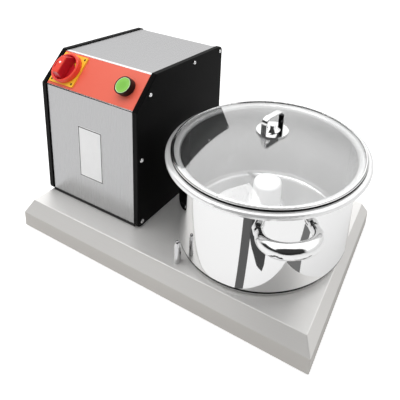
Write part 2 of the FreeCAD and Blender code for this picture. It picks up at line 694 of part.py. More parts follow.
def screw_places():
    """Where the screws of a side panel stand, in the same coordinates."""
    slope_y = "(slope_screw_up*cos(slope_angle) + screw_inset*sin(slope_angle))"
    slope_z = "(front_height + slope_screw_up*sin(slope_angle) - screw_inset*cos(slope_angle))"
    return [
        ("screw_inset", "screw_low"), ("screw_inset", "screw_high"), (slope_y, slope_z),
        ("top_screw_back", "(housing_height - screw_inset)"),
        ("(housing_depth - screw_inset)", "(housing_height - screw_inset)"),
    ]


def make_side_panel(name, side):
    """A thick side panel, bevelled on its outer face; it stands proud of the sheets."""
    body = new_body(name)
    sketch = new_sketch(body, "YZ_Plane")
    outline(sketch, side_corners("panel_proud"))
    pad(body, sketch, "panel_thickness", back=side < 0)
    back, top = side_corners("panel_proud")[2]
    rounded(body, "panel_corner", lambda edge, middle: runs(edge, "X") and (
        near(middle.y, "-panel_proud") and near(middle.z, 0) or near(middle.y, back) and near(middle.z, top)))
    holes = new_sketch(body, "YZ_Plane")
    circles(holes, screw_places(), "panel_screw_radius + fit_gap")
    pocket(body, holes, "panel_thickness", back=side > 0)
    bevelled(body, "panel_edge", lambda edge, middle: near(abs(middle.x), "panel_thickness") and (
        edge.BoundBox.DiagonalLength > size("3*panel_screw_radius")))
    return put(body, "motor_x + %d*inner_half" % side, "front_y", "tray_top")


def make_panel_screws(side_name, side):
    """Round-headed screws that hold a side panel to the sheets' corner blocks."""
    screws = []
    for number, (y, z) in enumerate(screw_places(), start=1):
        body = new_body("%s_panel_screw_%d" % (side_name, number))
        turned(body, [
            (0, "-(panel_thickness + screw_grip)"), ("panel_screw_radius", "-(panel_thickness + screw_grip)"),
            ("panel_screw_radius", 0), ("panel_head_radius", 0),
            ("panel_head_radius", "head_rim", "head_dome", 1), (0, "panel_head_height"),
        ])
        put(body, "motor_x + %d*housing_width/2" % side, "front_y + " + y, "tray_top + " + z,
            axis=(0, side, 0), angle=90)
        screws.append(body)
    return screws


def block(y, z, turn="0"):
    """A corner block's square section about (y, z), turned by an angle."""
    half = "(screw_inset - housing_sheet)"
    corners = []
    for a, b in ((-1, -1), (1, -1), (1, 1), (-1, 1)):
        corners.append((
            "%s + %s*(%d*cos(%s) - %d*sin(%s))" % (y, half, a, turn, b, turn),
            "%s + %s*(%d*sin(%s) + %d*cos(%s))" % (z, half, a, turn, b, turn),
        ))
    return corners


def add_blocks(body, sections, places):
    """Corner blocks at both ends of a sheet, each with its screw hole."""
    for section in sections:
        for end in ("-inner_half", "inner_half - block_length"):
            sketch = new_sketch(body, "YZ_Plane", end)
            outline(sketch, section)
            pad(body, sketch, "block_length")
    holes = new_sketch(body, "YZ_Plane")
    circles(holes, places, "panel_screw_radius + fit_gap")
    pocket(body, holes, "2*(inner_half + overcut)", middle=True)


def make_front_sheet():
    """The front sheet, its edges folded back along the side panels."""
    body = new_body("front_sheet")
    sketch = new_sketch(body, "XY_Plane", "sheet_gap")
    inner = "(inner_half - housing_sheet)"
    outline(sketch, [
        ("-inner_half", 0), ("inner_half", 0), ("inner_half", "sheet_fold"), (inner, "sheet_fold"),
        (inner, "housing_sheet"), ("-" + inner, "housing_sheet"), ("-" + inner, "sheet_fold"),
        ("-inner_half", "sheet_fold"),
    ])
    pad(body, sketch, "front_height - 2*sheet_gap")
    rounded(body, "sheet_bend", lambda edge, middle: runs(edge, "Z") and (
        near(middle.y, 0) and near(abs(middle.x), "inner_half")))
    low, high = screw_places()[:2]
    add_blocks(body, [block(*low), block(*high)], [low, high])
    return put(body, "motor_x", "front_y", "tray_top")


def cut_control_holes(body):
    """Holes in the slope for the isolator's neck and the button's neck."""
    sketch = new_sketch(body, "XY_Plane", "front_height", axis=(1, 0, 0), angle="slope_angle")
    circles(sketch, [("-isolator_offset", "isolator_up")], "isolator_neck + fit_gap")
    circles(sketch, [("button_offset", "button_up")], "button_neck + fit_gap")
    pocket(body, sketch, "housing_sheet + overcut")


def make_cover_sheet():
    """One sheet over the control slope, the top and the back."""
    body = new_body("cover_sheet")
    outer = side_corners("0")
    inner = side_corners("(-housing_sheet)")
    sketch = new_sketch(body, "YZ_Plane")
    foot_y, foot_z = "housing_sheet*sin(slope_angle)", "front_height - housing_sheet*cos(slope_angle)"
    outline(sketch, [
        (0, "front_height"), (foot_y, foot_z), inner[3], inner[2], (inner[1][0], "sheet_gap"),
        (outer[1][0], "sheet_gap"), outer[2], outer[3],
    ])
    pad(body, sketch, "2*inner_half", middle=True)
    rounded(body, "panel_corner", lambda edge, middle: runs(edge, "X") and (
        near(middle.y, "housing_depth") and near(middle.z, "housing_height")))
    rounded(body, "panel_corner - housing_sheet", lambda edge, middle: runs(edge, "X") and (
        near(middle.y, "housing_depth - housing_sheet") and near(middle.z, "housing_height - housing_sheet")))
    rounded(body, "sheet_bend", lambda edge, middle: runs(edge, "X") and (
        near(middle.y, "slope_run") and near(middle.z, "housing_height")))
    slope, top, back = screw_places()[2:]
    add_blocks(body, [block(*slope, turn="slope_angle"), block(*top), block(*back)], [slope, top, back])
    gland = new_sketch(body, "XZ_Plane")
    circles(gland, [("gland_offset", "gland_height")], "gland_radius + fit_gap")
    pocket(body, gland, "housing_depth + overcut")
    vents = new_sketch(body, "XZ_Plane")
    for side in ("-vent_offset", "vent_offset"):
        for step in range(int(size("vent_count"))):
            low = "(vent_low + %d*vent_pitch)" % step
            outline(vents, rectangle(side + " - vent_length/2", side + " + vent_length/2",
                                     low, low + " + vent_slot"))
    pocket(body, vents, "housing_depth + overcut")
    cut_control_holes(body)
    return put(body, "motor_x", "front_y", "tray_top")


# Controls on the slope, whose own Z axis stands square to it and whose Y axis points up it

def on_slope(body, x, up, out="0"):
    """Places a control on the slope, at a distance out of the sheet."""
    return put(body, "motor_x + " + x, "front_y + (%s)*cos(slope_angle) - (%s)*sin(slope_angle)" % (up, out),
               "tray_top + front_height + (%s)*sin(slope_angle) + (%s)*cos(slope_angle)" % (up, out),
               axis=(1, 0, 0), angle="slope_angle")


def make_overlay():
    """The coloured overlay on the slope, with holes for the two necks."""
    body = new_body("control_overlay")
    sketch = new_sketch(body, "XY_Plane")
    half = "(inner_half - overlay_margin)"
    outline(sketch, rectangle("-" + half, half, "overlay_margin", "slope_length - overlay_top_margin"))
    circles(sketch, [("-isolator_offset", "isolator_up")], "isolator_neck + fit_gap")
    circles(sketch, [("button_offset", "button_up")], "button_neck + fit_gap")
    pad(body, sketch, "overlay_sheet")
    return on_slope(body, "0", "0")


def make_isolator():
    """Plate, turning knob, square shaft and switch body of the isolator."""
    plate = new_body("isolator_plate")
    sketch = new_sketch(plate, "XY_Plane")
    half = "isolator_side/2"
    outline(sketch, rectangle("-" + half, half, "-" + half, half))
    circles(sketch, [(0, 0)], "isolator_neck + fit_gap")
    pad(plate, sketch, "isolator_sheet")
    rounded(plate, "isolator_corner", lambda edge, middle: runs(edge, "Z") and (
        near(abs(middle.x), half)))
    holes = new_sketch(plate, "XY_Plane", "isolator_sheet")
    circles(holes, bolt_ring(0, 0, "isolator_hole_circle"), "isolator_hole")
    pocket(plate, holes, "isolator_hole_depth")
    on_slope(plate, "-isolator_offset", "isolator_up", "overlay_sheet")

    knob = new_body("isolator_knob")
    turned(knob, [
        (0, 0), ("knob_radius", 0), ("knob_radius", "knob_ring_height"),
        ("knob_radius - knob_wall", "knob_ring_height"),
        ("knob_radius - knob_wall - knob_taper", "knob_floor"), (0, "knob_floor"),
    ])
    rounded(knob, "knob_edge", lambda edge, middle: near(middle.z, "knob_ring_height"))
    grip = new_sketch(knob, "YZ_Plane")
    outline(grip, [
        ("-(knob_radius - knob_wall)", "knob_floor"), ("knob_radius - knob_wall", "knob_floor"),
        ("grip_top_half", "knob_height"), ("-grip_top_half", "knob_height"),
    ])
    pad(knob, grip, "grip_width", middle=True)
    rounded(knob, "grip_edge", lambda edge, middle: near(middle.z, "knob_height") or (
        near(abs(middle.x), "grip_width/2") and middle.z > size("knob_ring_height")))
    slot = new_sketch(knob, "XY_Plane")
    start, end = "lock_turn", "(lock_turn + lock_sweep)"
    near_arc, far_arc = "lock_circle", "(lock_circle + lock_slot)"
    outline(slot, [
        ("%s*cos(%s)" % (near_arc, start), "%s*sin(%s)" % (near_arc, start)),
        ("%s*cos(%s)" % (far_arc, start), "%s*sin(%s)" % (far_arc, start), far_arc, 1),
        ("%s*cos(%s)" % (far_arc, end), "%s*sin(%s)" % (far_arc, end)),
        ("%s*cos(%s)" % (near_arc, end), "%s*sin(%s)" % (near_arc, end), near_arc, -1),
    ])
    pocket(knob, slot, "knob_floor + overcut", back=True)
    key = new_sketch(knob, "XY_Plane")
    key_half = "(key_side/2 + fit_gap)"
    outline(key, rectangle("-" + key_half, key_half, "-" + key_half, key_half))
    pocket(knob, key, "key_depth", back=True)
    on_slope(knob, "-isolator_offset", "isolator_up", "overlay_sheet + isolator_sheet + turn_gap")

    shaft = new_body("isolator_shaft")
    sketch = new_sketch(shaft, "XY_Plane", "-isolator_grasp")
    outline(sketch, rectangle("-key_side/2", "key_side/2", "-key_side/2", "key_side/2"))
    pad(shaft, sketch, "isolator_grasp + overlay_sheet + isolator_sheet + turn_gap + key_depth - fit_gap")
    bevelled(shaft, "shaft_bevel", lambda edge, middle: runs(edge, "Z"))
    on_slope(shaft, "-isolator_offset", "isolator_up")

    switch = new_body("isolator_switch")
    turned(switch, [
        ("key_clear", "-isolator_depth"), ("isolator_body/2", "-isolator_depth"),
        ("isolator_body/2", "-housing_sheet"), ("isolator_neck", "-housing_sheet"),
        ("isolator_neck", "overlay_sheet + isolator_sheet"), ("key_clear", "overlay_sheet + isolator_sheet"),
    ])
    flats = new_sketch(switch, "XY_Plane", "-housing_sheet")
    half = "isolator_body/2"
    outline(flats, rectangle("-" + half, half, "-" + half, half))
    circles(flats, [(0, 0)], "key_clear")
    pad(switch, flats, "isolator_frame", back=True)
    on_slope(switch, "-isolator_offset", "isolator_up")
    return [plate, knob, shaft, switch]


def make_button():
    """Collar, start button and the contact block behind the slope."""
    collar = new_body("button_collar")
    turned(collar, [
        ("button_stem + turn_gap", "-neck_depth"), ("button_neck", "-neck_depth"),
        ("button_neck", "overlay_sheet"), ("collar_radius - collar_foot", "overlay_sheet"),
        ("collar_radius", "overlay_sheet + collar_foot"),
        ("collar_radius", "collar_height - collar_edge", "collar_edge", 1),
        ("collar_radius - collar_edge", "collar_height"), ("collar_bore", "collar_height"),
        ("collar_bore", "button_under - button_travel - turn_gap"),
        ("button_stem + turn_gap", "button_under - button_travel - turn_gap"),
    ])
    on_slope(collar, "button_offset", "button_up")

    button = new_body("start_button")
    cap = "(collar_bore - turn_gap)"
    turned(button, [
        (0, "-(neck_depth + stem_reach)"), ("button_stem", "-(neck_depth + stem_reach)"),
        ("button_stem", "button_under"), (cap, "button_under"),
        (cap, "collar_height - button_sunk - cap_edge", "cap_edge", 1),
        (cap + " - cap_edge", "collar_height - button_sunk"), (0, "collar_height - button_sunk"),
    ])
    on_slope(button, "button_offset", "button_up")

    contact = new_body("button_contact")
    sketch = new_sketch(contact, "XY_Plane", "-neck_depth")
    half = "contact_side/2"
    outline(sketch, rectangle("-" + half, half, "-" + half, half))
    pad(contact, sketch, "contact_depth", back=True)
    bore = new_sketch(contact, "XY_Plane", "-neck_depth")
    circles(bore, [(0, 0)], "button_stem + turn_gap")
    pocket(contact, bore, "stem_reach + button_travel + turn_gap")
    step = new_sketch(contact, "YZ_Plane")
    outline(step, rectangle("contact_side/2 - contact_step", "contact_side/2",
                            "-(neck_depth + contact_depth)", "-(neck_depth + contact_depth/2)"))
    pocket(contact, step, "contact_side + overcut", middle=True)
    on_slope(contact, "button_offset", "button_up")
    return [collar, button, contact]


# Pot and handles

def make_pot():
    """A deep steel pot with a tube in its middle, a foot ring and a rolled flange."""
    body = new_body("pot")
    wall = "pot_wall"
    inner = "(pot_radius - pot_wall)"
    foot_in = "(pot_radius - pot_corner - pot_foot)"
    bend_in = "(pot_corner - pot_wall)"
    flare_top = "(flare_radius + pot_wall)"
    top = "pot_height"
    lean = "(pot_wall*tan(foot_lean/2))"
    step_in = "(%s - pot_recess/tan(foot_lean))" % foot_in
    turned(body, [
        ("tube_bore", "tube_height"), ("tube_bore", "pot_recess"), (step_in, "pot_recess"),
        (foot_in, 0), ("pot_radius - pot_corner", 0, "pot_corner", 1), ("pot_radius", "pot_corner"),
        ("pot_radius", top + " - pot_wall - flare_radius", "flare_radius", -1),
        ("pot_radius + flare_radius", top + " - pot_wall"),
        ("flange_radius - flange_roll", top + " - pot_wall", "(flange_roll - pot_wall)", -1),
        ("flange_radius - pot_wall", top + " - flange_roll"),
        ("flange_radius - pot_wall", top + " - flange_drop"), ("flange_radius", top + " - flange_drop"),
        ("flange_radius", top + " - flange_roll", "flange_roll", 1), ("flange_radius - flange_roll", top),
        (inner + " + " + flare_top, top, flare_top, 1), (inner, top + " - " + flare_top),
        (inner, "pot_corner", bend_in, -1), ("pot_radius - pot_corner", wall), (foot_in + " + " + lean, wall),
        (step_in + " + " + lean, "pot_floor"), ("tube_radius", "pot_floor"), ("tube_radius", "tube_height"),
    ])
    return put(body, "pot_x", 0, "tray_top")


def make_handles():
    """Two bent handles. Each is thick where it is held, thin at its legs, with a collar on each."""
    handles = []
    root_x = "pot_radius - handle_root*cos(handle_rise)"
    root_z = "handle_height - handle_root*sin(handle_rise)"
    for name, turn in (("front_handle", "handle_turn"), ("rear_handle", "(handle_turn + 180)")):
        body = new_body(name)
        path = new_sketch(body, "XY_Plane", "handle_height", "pot_radius", (0, -1, 0), "handle_rise")
        bend = "(handle_half - handle_flat)"
        outline(path, [
            ("-handle_root", "-handle_half"), ("handle_reach - " + bend, "-handle_half", bend, 1),
            ("handle_reach", "-handle_flat"), ("handle_reach", "handle_flat", bend, 1),
            ("handle_reach - " + bend, "handle_half"), ("-handle_root", "handle_half"),
        ], closed=False)
        sections = []
        for side in ("-", ""):
            leg = new_sketch(body, "XY_Plane", root_z, root_x, (0, 1, 0), "90 - handle_rise")
            circles(leg, [(0, side + "handle_half")], "handle_leg")
            sections.append(leg)
        held = new_sketch(body, "XZ_Plane")
        end_x = "pot_radius + handle_reach*cos(handle_rise)"
        end_z = "handle_height + handle_reach*sin(handle_rise)"
        circles(held, [(end_x, end_z)], "handle_tube")
        sections.insert(1, held)
        tube = body.newObject("PartDesign::AdditivePipe", name + "_tube")
        tube.Profile = sections[0]
        tube.Spine = path
        tube.Transformation = "Multisection"
        tube.Sections = sections[1:]
        collars = new_sketch(body, "XY_Plane", root_z, root_x, (0, 1, 0), "90 - handle_rise")
        circles(collars, [(0, "-handle_half"), (0, "handle_half")], "handle_collar")
        pad(body, collars, "handle_root + handle_collar_length")
        inside = new_sketch(body, "XY_Plane")
        circles(inside, [(0, 0)], "pot_radius")
        pocket(body, inside, "pot_height", back=True)
        handles.append(put(body, "pot_x", 0, "tray_top", axis=(0, 0, 1), angle=turn))
    return handles


# Lid: a glass dome in a steel rim, on a rubber seal, with a handle in the middle

def make_lid():
    glass = new_body("lid_glass")
    edge_radius = "(rim_radius - rim_sheet - lid_fit)"
    inner_bend = "(dome_bend - glass_thickness)"
    inner_edge = "(%s*dome_radius/dome_bend)" % inner_bend
    bore_sag = "(dome_bend - sqrt(dome_bend^2 - lid_bore^2))"
    inner_sag = "(%s - sqrt(%s^2 - lid_bore^2))" % (inner_bend, inner_bend)
    inner_foot = "(dome_top - dome_bend + sqrt(%s^2 - %s^2))" % (inner_bend, inner_edge)
    turned(glass, [
        ("lid_bore", "dome_top - glass_thickness - " + inner_sag, inner_bend, -1), (inner_edge, inner_foot),
        (inner_edge + " + glass_bevel", "glass_bottom"), (edge_radius, "glass_bottom"),
        (edge_radius, "glass_top"), ("dome_radius", "glass_top", "dome_bend", 1),
        ("lid_bore", "dome_top - " + bore_sag),
    ])

    rim = new_body("lid_rim")
    rim_top = "(rim_bottom + rim_height)"
    inner = "(rim_radius - rim_width)"
    turned(rim, [
        ("rim_radius - rim_sheet", "rim_bottom"), ("rim_radius", "rim_bottom"), ("rim_radius", rim_top),
        (inner, rim_top), (inner, rim_top + " - rim_sheet"),
        ("rim_radius - rim_sheet", rim_top + " - rim_sheet"),
    ])
    rounded(rim, "rim_edge", lambda edge, middle: near(edge.BoundBox.XLength, "2*rim_radius"))

    seal = new_body("lid_seal")
    wall = "(seal_radius - seal_wall)"
    lip = "(%s - seal_in)" % inner
    turned(seal, [
        (lip, "lid_gap"), ("seal_radius", "lid_gap"), ("seal_radius", "lid_gap + seal_height"),
        (wall, "lid_gap + seal_height"), (wall, "rim_bottom"), (lip, "rim_bottom"),
    ])

    saucer = new_body("lid_saucer")
    under = "(dome_bend + saucer_gap)"
    sag = "(%s - sqrt(%s^2 - %s^2))"
    low = "(dome_top + saucer_gap)"
    turned(saucer, [
        ("knob_bolt", low + " - " + sag % (under, under, "knob_bolt"), under, -1),
        ("saucer_radius", low + " - " + sag % (under, under, "saucer_radius")),
        ("saucer_radius", "saucer_top"), ("cone_radius", "saucer_top"),
        ("cone_top_radius", "saucer_top + cone_height"), ("knob_bolt", "saucer_top + cone_height"),
    ])

    arch = new_body("lid_handle")
    sketch = new_sketch(arch, "XZ_Plane")
    half, low_half = "arch_half", "(arch_half - arch_strap)"
    corner, inner_corner = "arch_corner", "(arch_corner - arch_strap)"
    outline(sketch, [
        (low_half, 0), (half, 0), (half, "arch_height - " + corner, corner, 1),
        (half + " - " + corner, "arch_height"), ("-(%s - %s)" % (half, corner), "arch_height", corner, 1),
        ("-" + half, "arch_height - " + corner), ("-" + half, 0), ("-" + low_half, 0),
        ("-" + low_half, "arch_height - " + corner, inner_corner, -1),
        ("-(%s - %s)" % (half, corner), "arch_height - arch_strap"),
        (half + " - " + corner, "arch_height - arch_strap", inner_corner, -1),
        (low_half, "arch_height - " + corner),
    ])
    pad(arch, sketch, "arch_width", middle=True)
    bevelled(arch, "arch_edge", lambda edge, middle: (
        near(abs(middle.y), "arch_width/2") and middle.z > size("arch_strap")))
    for body in (glass, rim, seal, saucer):
        put(body, "pot_x", 0, "lid_level")
    put(arch, "pot_x", 0, "lid_level + saucer_top", axis=(0, 0, 1), angle="arch_turn")

    bolt = new_body("lid_bolt")
    washer = "(dome_top - glass_thickness - saucer_gap)"
    head = "(saucer_top + cone_height)"
    turned(bolt, [
        (0, washer + " - bolt_out"), ("bolt_out_radius", washer + " - bolt_out"), ("bolt_out_radius", washer),
        ("knob_bolt - fit_gap", washer), ("knob_bolt - fit_gap", head), ("knob_nut", head),
        ("knob_nut", head + " + nut_height"), (0, head + " + nut_height"),
    ])
    put(bolt, "pot_x", 0, "lid_level")
    return [glass, rim, seal, saucer, arch, bolt]


# Blades

def make_hub():
    """The stepped plastic hub that drops over the pot's tube."""
    body = new_body("blade_hub")
    turned(body, [
        ("hub_bore", "hub_bottom"), ("hub_radius", "hub_bottom"), ("hub_radius", "upper_blade_height"),
        ("hub_waist", "upper_blade_height"), ("hub_waist", "upper_blade_height + blade_sheet"),
        ("hub_top_radius", "hub_top - hub_edge", "hub_edge", 1), ("hub_top_radius - hub_edge", "hub_top"),
        (0, "hub_top"), (0, "head_top"), ("insert_radius", "head_top"),
        ("insert_radius", "socket_floor"), ("hub_bore", "socket_floor"),
    ])
    return put(body, "pot_x", 0, "tray_top")


def make_insert():
    """The steel insert that the shaft's six-sided head drives."""
    body = new_body("drive_insert")
    sketch = new_sketch(body, "XY_Plane", "socket_floor")
    circles(sketch, [(0, 0)], "insert_radius - fit_gap")
    outline(sketch, polygon(6, "(hex_half + hex_gap)/cos(30)"))
    pad(body, sketch, "head_top - socket_floor - fit_gap")
    return put(body, "pot_x", 0, "tray_top", axis=(0, 0, 1), angle="blade_turn")


def make_blade(name, level, bore, ring, turn):
    """A curved blade, ground to an edge on its convex side, with a ring round the hub."""
    body = new_body(name)
    reach = "sqrt(blade_reach^2 - blade_sweep^2)"
    arm = new_sketch(body, "XY_Plane")
    outline(arm, [
        ("blade_start", "-blade_root", "blade_front_bend", 1), (reach, "blade_sweep"),
        (reach + " - blade_tip", "blade_sweep + blade_tip_side", "blade_back_bend", -1),
        ("blade_start", "blade_root"),
    ])
    pad(body, arm, "blade_sheet")
    edge = bevelled(body, "blade_grind", lambda edge, middle: (
        near(middle.z, "blade_sheet") and near(edge.BoundBox.YMax, "blade_sweep") and (
            edge.Length > size("blade_reach/2"))))
    edge.ChamferType = "Two distances"
    edge.FlipDirection = True
    bind(edge, "Size2", "blade_sheet - blade_edge")
    disc = new_sketch(body, "XY_Plane")
    circles(disc, [(0, 0)], ring)
    pad(body, disc, "blade_sheet")
    hole = new_sketch(body, "XY_Plane")
    circles(hole, [(0, 0)], bore)
    pocket(body, hole, "blade_sheet + overcut", back=True)
    return put(body, "pot_x", 0, "tray_top + " + level, axis=(0, 0, 1), angle=turn)


# Drive under the tray and up through the pot

def make_drive():
    housing = new_body("bearing_housing")
    seat = "(bearing_radius + fit_gap)"
    low, high = "-lower_seat", "neck_height"
    inside = "(shaft_shoulder + bearing_room)"
    turned(housing, [
        (seat, low), ("neck_radius", low), ("neck_radius", "-(tray_sheet + bearing_flange)"),
        ("bearing_flange_radius", "-(tray_sheet + bearing_flange)"), ("bearing_flange_radius", "-tray_sheet"),
        ("neck_radius", "-tray_sheet"), ("neck_radius", high), (seat, high),
        (seat, high + " - seal_room - bearing_width"), (inside, high + " - seal_room - bearing_width"),
        (inside, "-lower_seat + bearing_width"), (seat, "-lower_seat + bearing_width"),
    ])
    holes = new_sketch(housing, "XY_Plane", "-(tray_sheet + bearing_flange)")
    circles(holes, bolt_ring(0, 0, "bearing_bolt_circle"), "bolt_radius + fit_gap")
    pocket(housing, holes, "bearing_flange + overcut", back=True)
    put(housing, "pot_x", 0, "tray_top")

    bearings = []
    for name, level in (("lower_bearing", "-lower_seat"),
                        ("upper_bearing", "(neck_height - seal_room - bearing_width)")):
        body = new_body(name)
        turned(body, [
            ("shaft_radius + running_gap", 0), ("bearing_radius", 0), ("bearing_radius", "bearing_width"),
            ("shaft_radius + running_gap", "bearing_width"),
        ])
        bearings.append(put(body, "pot_x", 0, "tray_top + " + level))

    seal = new_body("shaft_seal")
    turned(seal, [
        ("shaft_radius + running_gap", 0), ("bearing_radius", 0), ("bearing_radius", "seal_room"),
        ("shaft_radius + seal_dish", "seal_room"), ("shaft_radius + running_gap", "seal_room - seal_dish"),
    ])
    put(seal, "pot_x", 0, "tray_top + neck_height - seal_room")

    shaft = new_body("drive_shaft")
    low_face = "-lower_seat + bearing_width + running_gap"
    high_face = "neck_height - seal_room - bearing_width - running_gap"
    turned(shaft, [
        (0, "-shaft_drop"), ("shaft_radius", "-shaft_drop"), ("shaft_radius", low_face),
        ("shaft_shoulder", low_face), ("shaft_shoulder", high_face), ("shaft_radius", high_face),
        ("shaft_radius", "neck_height + shaft_out"), (0, "neck_height + shaft_out"),
    ])
    head = new_sketch(shaft, "XY_Plane", "neck_height + shaft_out")
    outline(head, polygon(6, "hex_half/cos(30)"))
    pad(shaft, head, "head_top - neck_height - shaft_out - head_gap")
    bevelled(shaft, "head_bevel", lambda edge, middle: near(middle.z, "head_top - head_gap"))
    put(shaft, "pot_x", 0, "tray_top", axis=(0, 0, 1), angle="blade_turn")

    pulleys = []
    for name, pitch, bore, x in (("drive_pulley", "large_pitch", "shaft_radius", "pot_x"),
                                 ("motor_pulley", "small_pitch", "motor_shaft_radius", "motor_x")):
        body = new_body(name)
        half = "(belt_height/2 + pulley_lip)"
        outer = "(%s + %s)" % (pitch, half)
        floor = "(%s - belt_height/2 - groove_depth)" % pitch
        slope_out = "(belt_middle + (%s)*belt_taper + belt_gap)" % half
        slope_in = "(belt_middle - (belt_height/2 + groove_depth)*belt_taper + belt_gap)"
        turned(body, [
            (bore + " + fit_gap", "-pulley_half"), (outer, "-pulley_half"), (outer, "-" + slope_out),
            (floor, "-" + slope_in), (floor, slope_in), (outer, slope_out), (outer, "pulley_half"),
            (bore + " + fit_gap", "pulley_half"),
        ])
        dish = new_sketch(body, "XY_Plane", "pulley_half")
        circles(dish, [(0, 0)], floor + " - pulley_rim")
        circles(dish, [(0, 0)], bore + " + pulley_boss")
        pocket(body, dish, "pulley_half - pulley_web/2")
        pulleys.append(put(body, x, 0, "tray_top - belt_level"))

    belt = new_body("drive_belt")
    path = new_sketch(belt, "XY_Plane")
    large_x, large_y = "large_pitch*sin(belt_lean)", "large_pitch*cos(belt_lean)"
    small_x, small_y = "small_pitch*sin(belt_lean)", "small_pitch*cos(belt_lean)"
    outline(path, [
        ("large_pitch", 0, "large_pitch", 1), ("-" + large_x, large_y),
        ("-(belt_span + %s)" % small_x, small_y, "small_pitch", 1),
        ("-(belt_span + %s)" % small_x, "-" + small_y),
        ("-" + large_x, "-" + large_y, "large_pitch", 1),
    ])
    section = new_sketch(belt, "XZ_Plane")
    outline(section, [
        ("large_pitch - belt_height/2", "-belt_inner_half"), ("large_pitch + belt_height/2", "-belt_half"),
        ("large_pitch + belt_height/2", "belt_half"), ("large_pitch - belt_height/2", "belt_inner_half"),
    ])
    run = belt.newObject("PartDesign::AdditivePipe", "belt_run")
    run.Profile = section
    run.Spine = path
    put(belt, "pot_x", 0, "tray_top - belt_level")
    return [housing] + bearings + [seal, shaft] + pulleys + [belt]


# Motor, standing on the tray inside its housing

def make_motor():
    lower = new_body("motor_lower_shield")
    plate = new_sketch(lower, "XY_Plane")
    half = "motor_plate_side/2"
    outline(plate, rectangle("-" + half, half, "-" + half, half))
    pad(lower, plate, "motor_plate_sheet")
    rounded(lower, "motor_plate_corner", lambda edge, middle: runs(edge, "Z"))
    bell = new_sketch(lower, "XY_Plane")
    circles(bell, [(0, 0)], "motor_radius")
    pad(lower, bell, "casing_base")
    spigot = new_sketch(lower, "XY_Plane")
    circles(spigot, [(0, 0)], "motor_spigot")
    pad(lower, spigot, "tray_sheet + spigot_out", back=True)
    bore = new_sketch(lower, "XY_Plane", "-(tray_sheet + spigot_out)")
    circles(bore, [(0, 0)], "motor_shaft_radius + running_gap")
    pocket(lower, bore, "casing_base + tray_sheet + spigot_out + overcut", back=True)
    holes = new_sketch(lower, "XY_Plane")
    circles(holes, bolt_ring(0, 0, "motor_bolt_circle"), "bolt_radius + fit_gap")
    pocket(lower, holes, "motor_plate_sheet + overcut", back=True)

    casing = new_body("motor_casing")
    ring = new_sketch(casing, "XY_Plane", "casing_base")
    circles(ring, [(0, 0)], "motor_radius")
    circles(ring, [(0, 0)], "motor_shaft_radius + bearing_room")
    pad(casing, ring, "casing_height")
    fin = new_sketch(casing, "XY_Plane", "casing_base + fin_end")
    outline(fin, rectangle("motor_radius - root", "motor_radius + fin_height", "-fin_sheet/2", "fin_sheet/2"))
    first_fin = pad(casing, fin, "casing_height - 2*fin_end")
    copies(casing, first_fin, "fin_count")

    upper = new_body("motor_upper_shield")
    sleeve = "(motor_radius - fan_cover_sheet - fit_gap)"
    turned(upper, [
        ("motor_shaft_radius + running_gap", "casing_top"), ("motor_radius", "casing_top"),
        ("motor_radius", "upper_shield_top - cover_overlap"), (sleeve, "upper_shield_top - cover_overlap"),
        (sleeve, "upper_shield_top"), ("motor_shaft_radius + running_gap", "upper_shield_top"),
    ])

    shaft = new_body("motor_shaft")
    low = "-(belt_level + pulley_half + motor_shaft_end)"
    high = "upper_shield_top + fan_up + fan_height"
    turned(shaft, [(0, low), ("motor_shaft_radius", low), ("motor_shaft_radius", high), (0, high)])
    key = new_sketch(shaft, "XY_Plane", low)
    outline(key, rectangle("motor_shaft_radius - keyway_depth", "motor_shaft_radius + overcut",
                           "-key_width/2", "key_width/2"))
    pocket(shaft, key, "2*pulley_half", back=True)

    fan = new_body("motor_fan")
    level = "upper_shield_top + fan_up"
    turned(fan, [
        ("motor_shaft_radius + fit_gap", level), ("fan_radius", level),
        ("fan_radius", level + " + fan_sheet"),
        ("motor_shaft_radius + fan_boss", level + " + fan_sheet"),
        ("motor_shaft_radius + fan_boss", level + " + fan_height"),
        ("motor_shaft_radius + fit_gap", level + " + fan_height"),
    ])
    vane = new_sketch(fan, "XY_Plane", level)
    outline(vane, rectangle("motor_shaft_radius + fan_boss - root", "fan_radius",
                            "-fan_sheet/2", "fan_sheet/2"))
    first_vane = pad(fan, vane, "fan_height")
    copies(fan, first_vane, "vane_count")

    cover = new_body("fan_cover")
    inner = "(motor_radius - fan_cover_sheet)"
    turned(cover, [
        (inner, "upper_shield_top - cover_overlap"), ("motor_radius", "upper_shield_top - cover_overlap"),
        ("motor_radius", "motor_top"), (0, "motor_top"), (0, "motor_top - fan_cover_sheet"),
        (inner, "motor_top - fan_cover_sheet"),
    ])
    slot = new_sketch(cover, "XY_Plane", "motor_top - fan_cover_sheet")
    outline(slot, rectangle("grille_start", "motor_radius - grille_end", "-grille_slot/2", "grille_slot/2"))
    first_slot = pocket(cover, slot, "fan_cover_sheet + overcut", back=True)
    copies(cover, first_slot, "grille_count")
    pieces = [lower, casing, upper, shaft, fan, cover]
    for body in pieces:
        put(body, "motor_x", 0, "tray_top")
    return pieces


def copies(body, feature, count):
    """Repeats a feature evenly about the body's Z axis."""
    pattern = body.newObject("PartDesign::PolarPattern", body.Name + "_copies")
    pattern.Originals = [feature]
    pattern.Axis = (feature.Profile[0], ["N_Axis"])
    pattern.Angle = 360
    bind(pattern, "Occurrences", count)
    body.Tip = pattern
    return pattern


# Electrical pieces

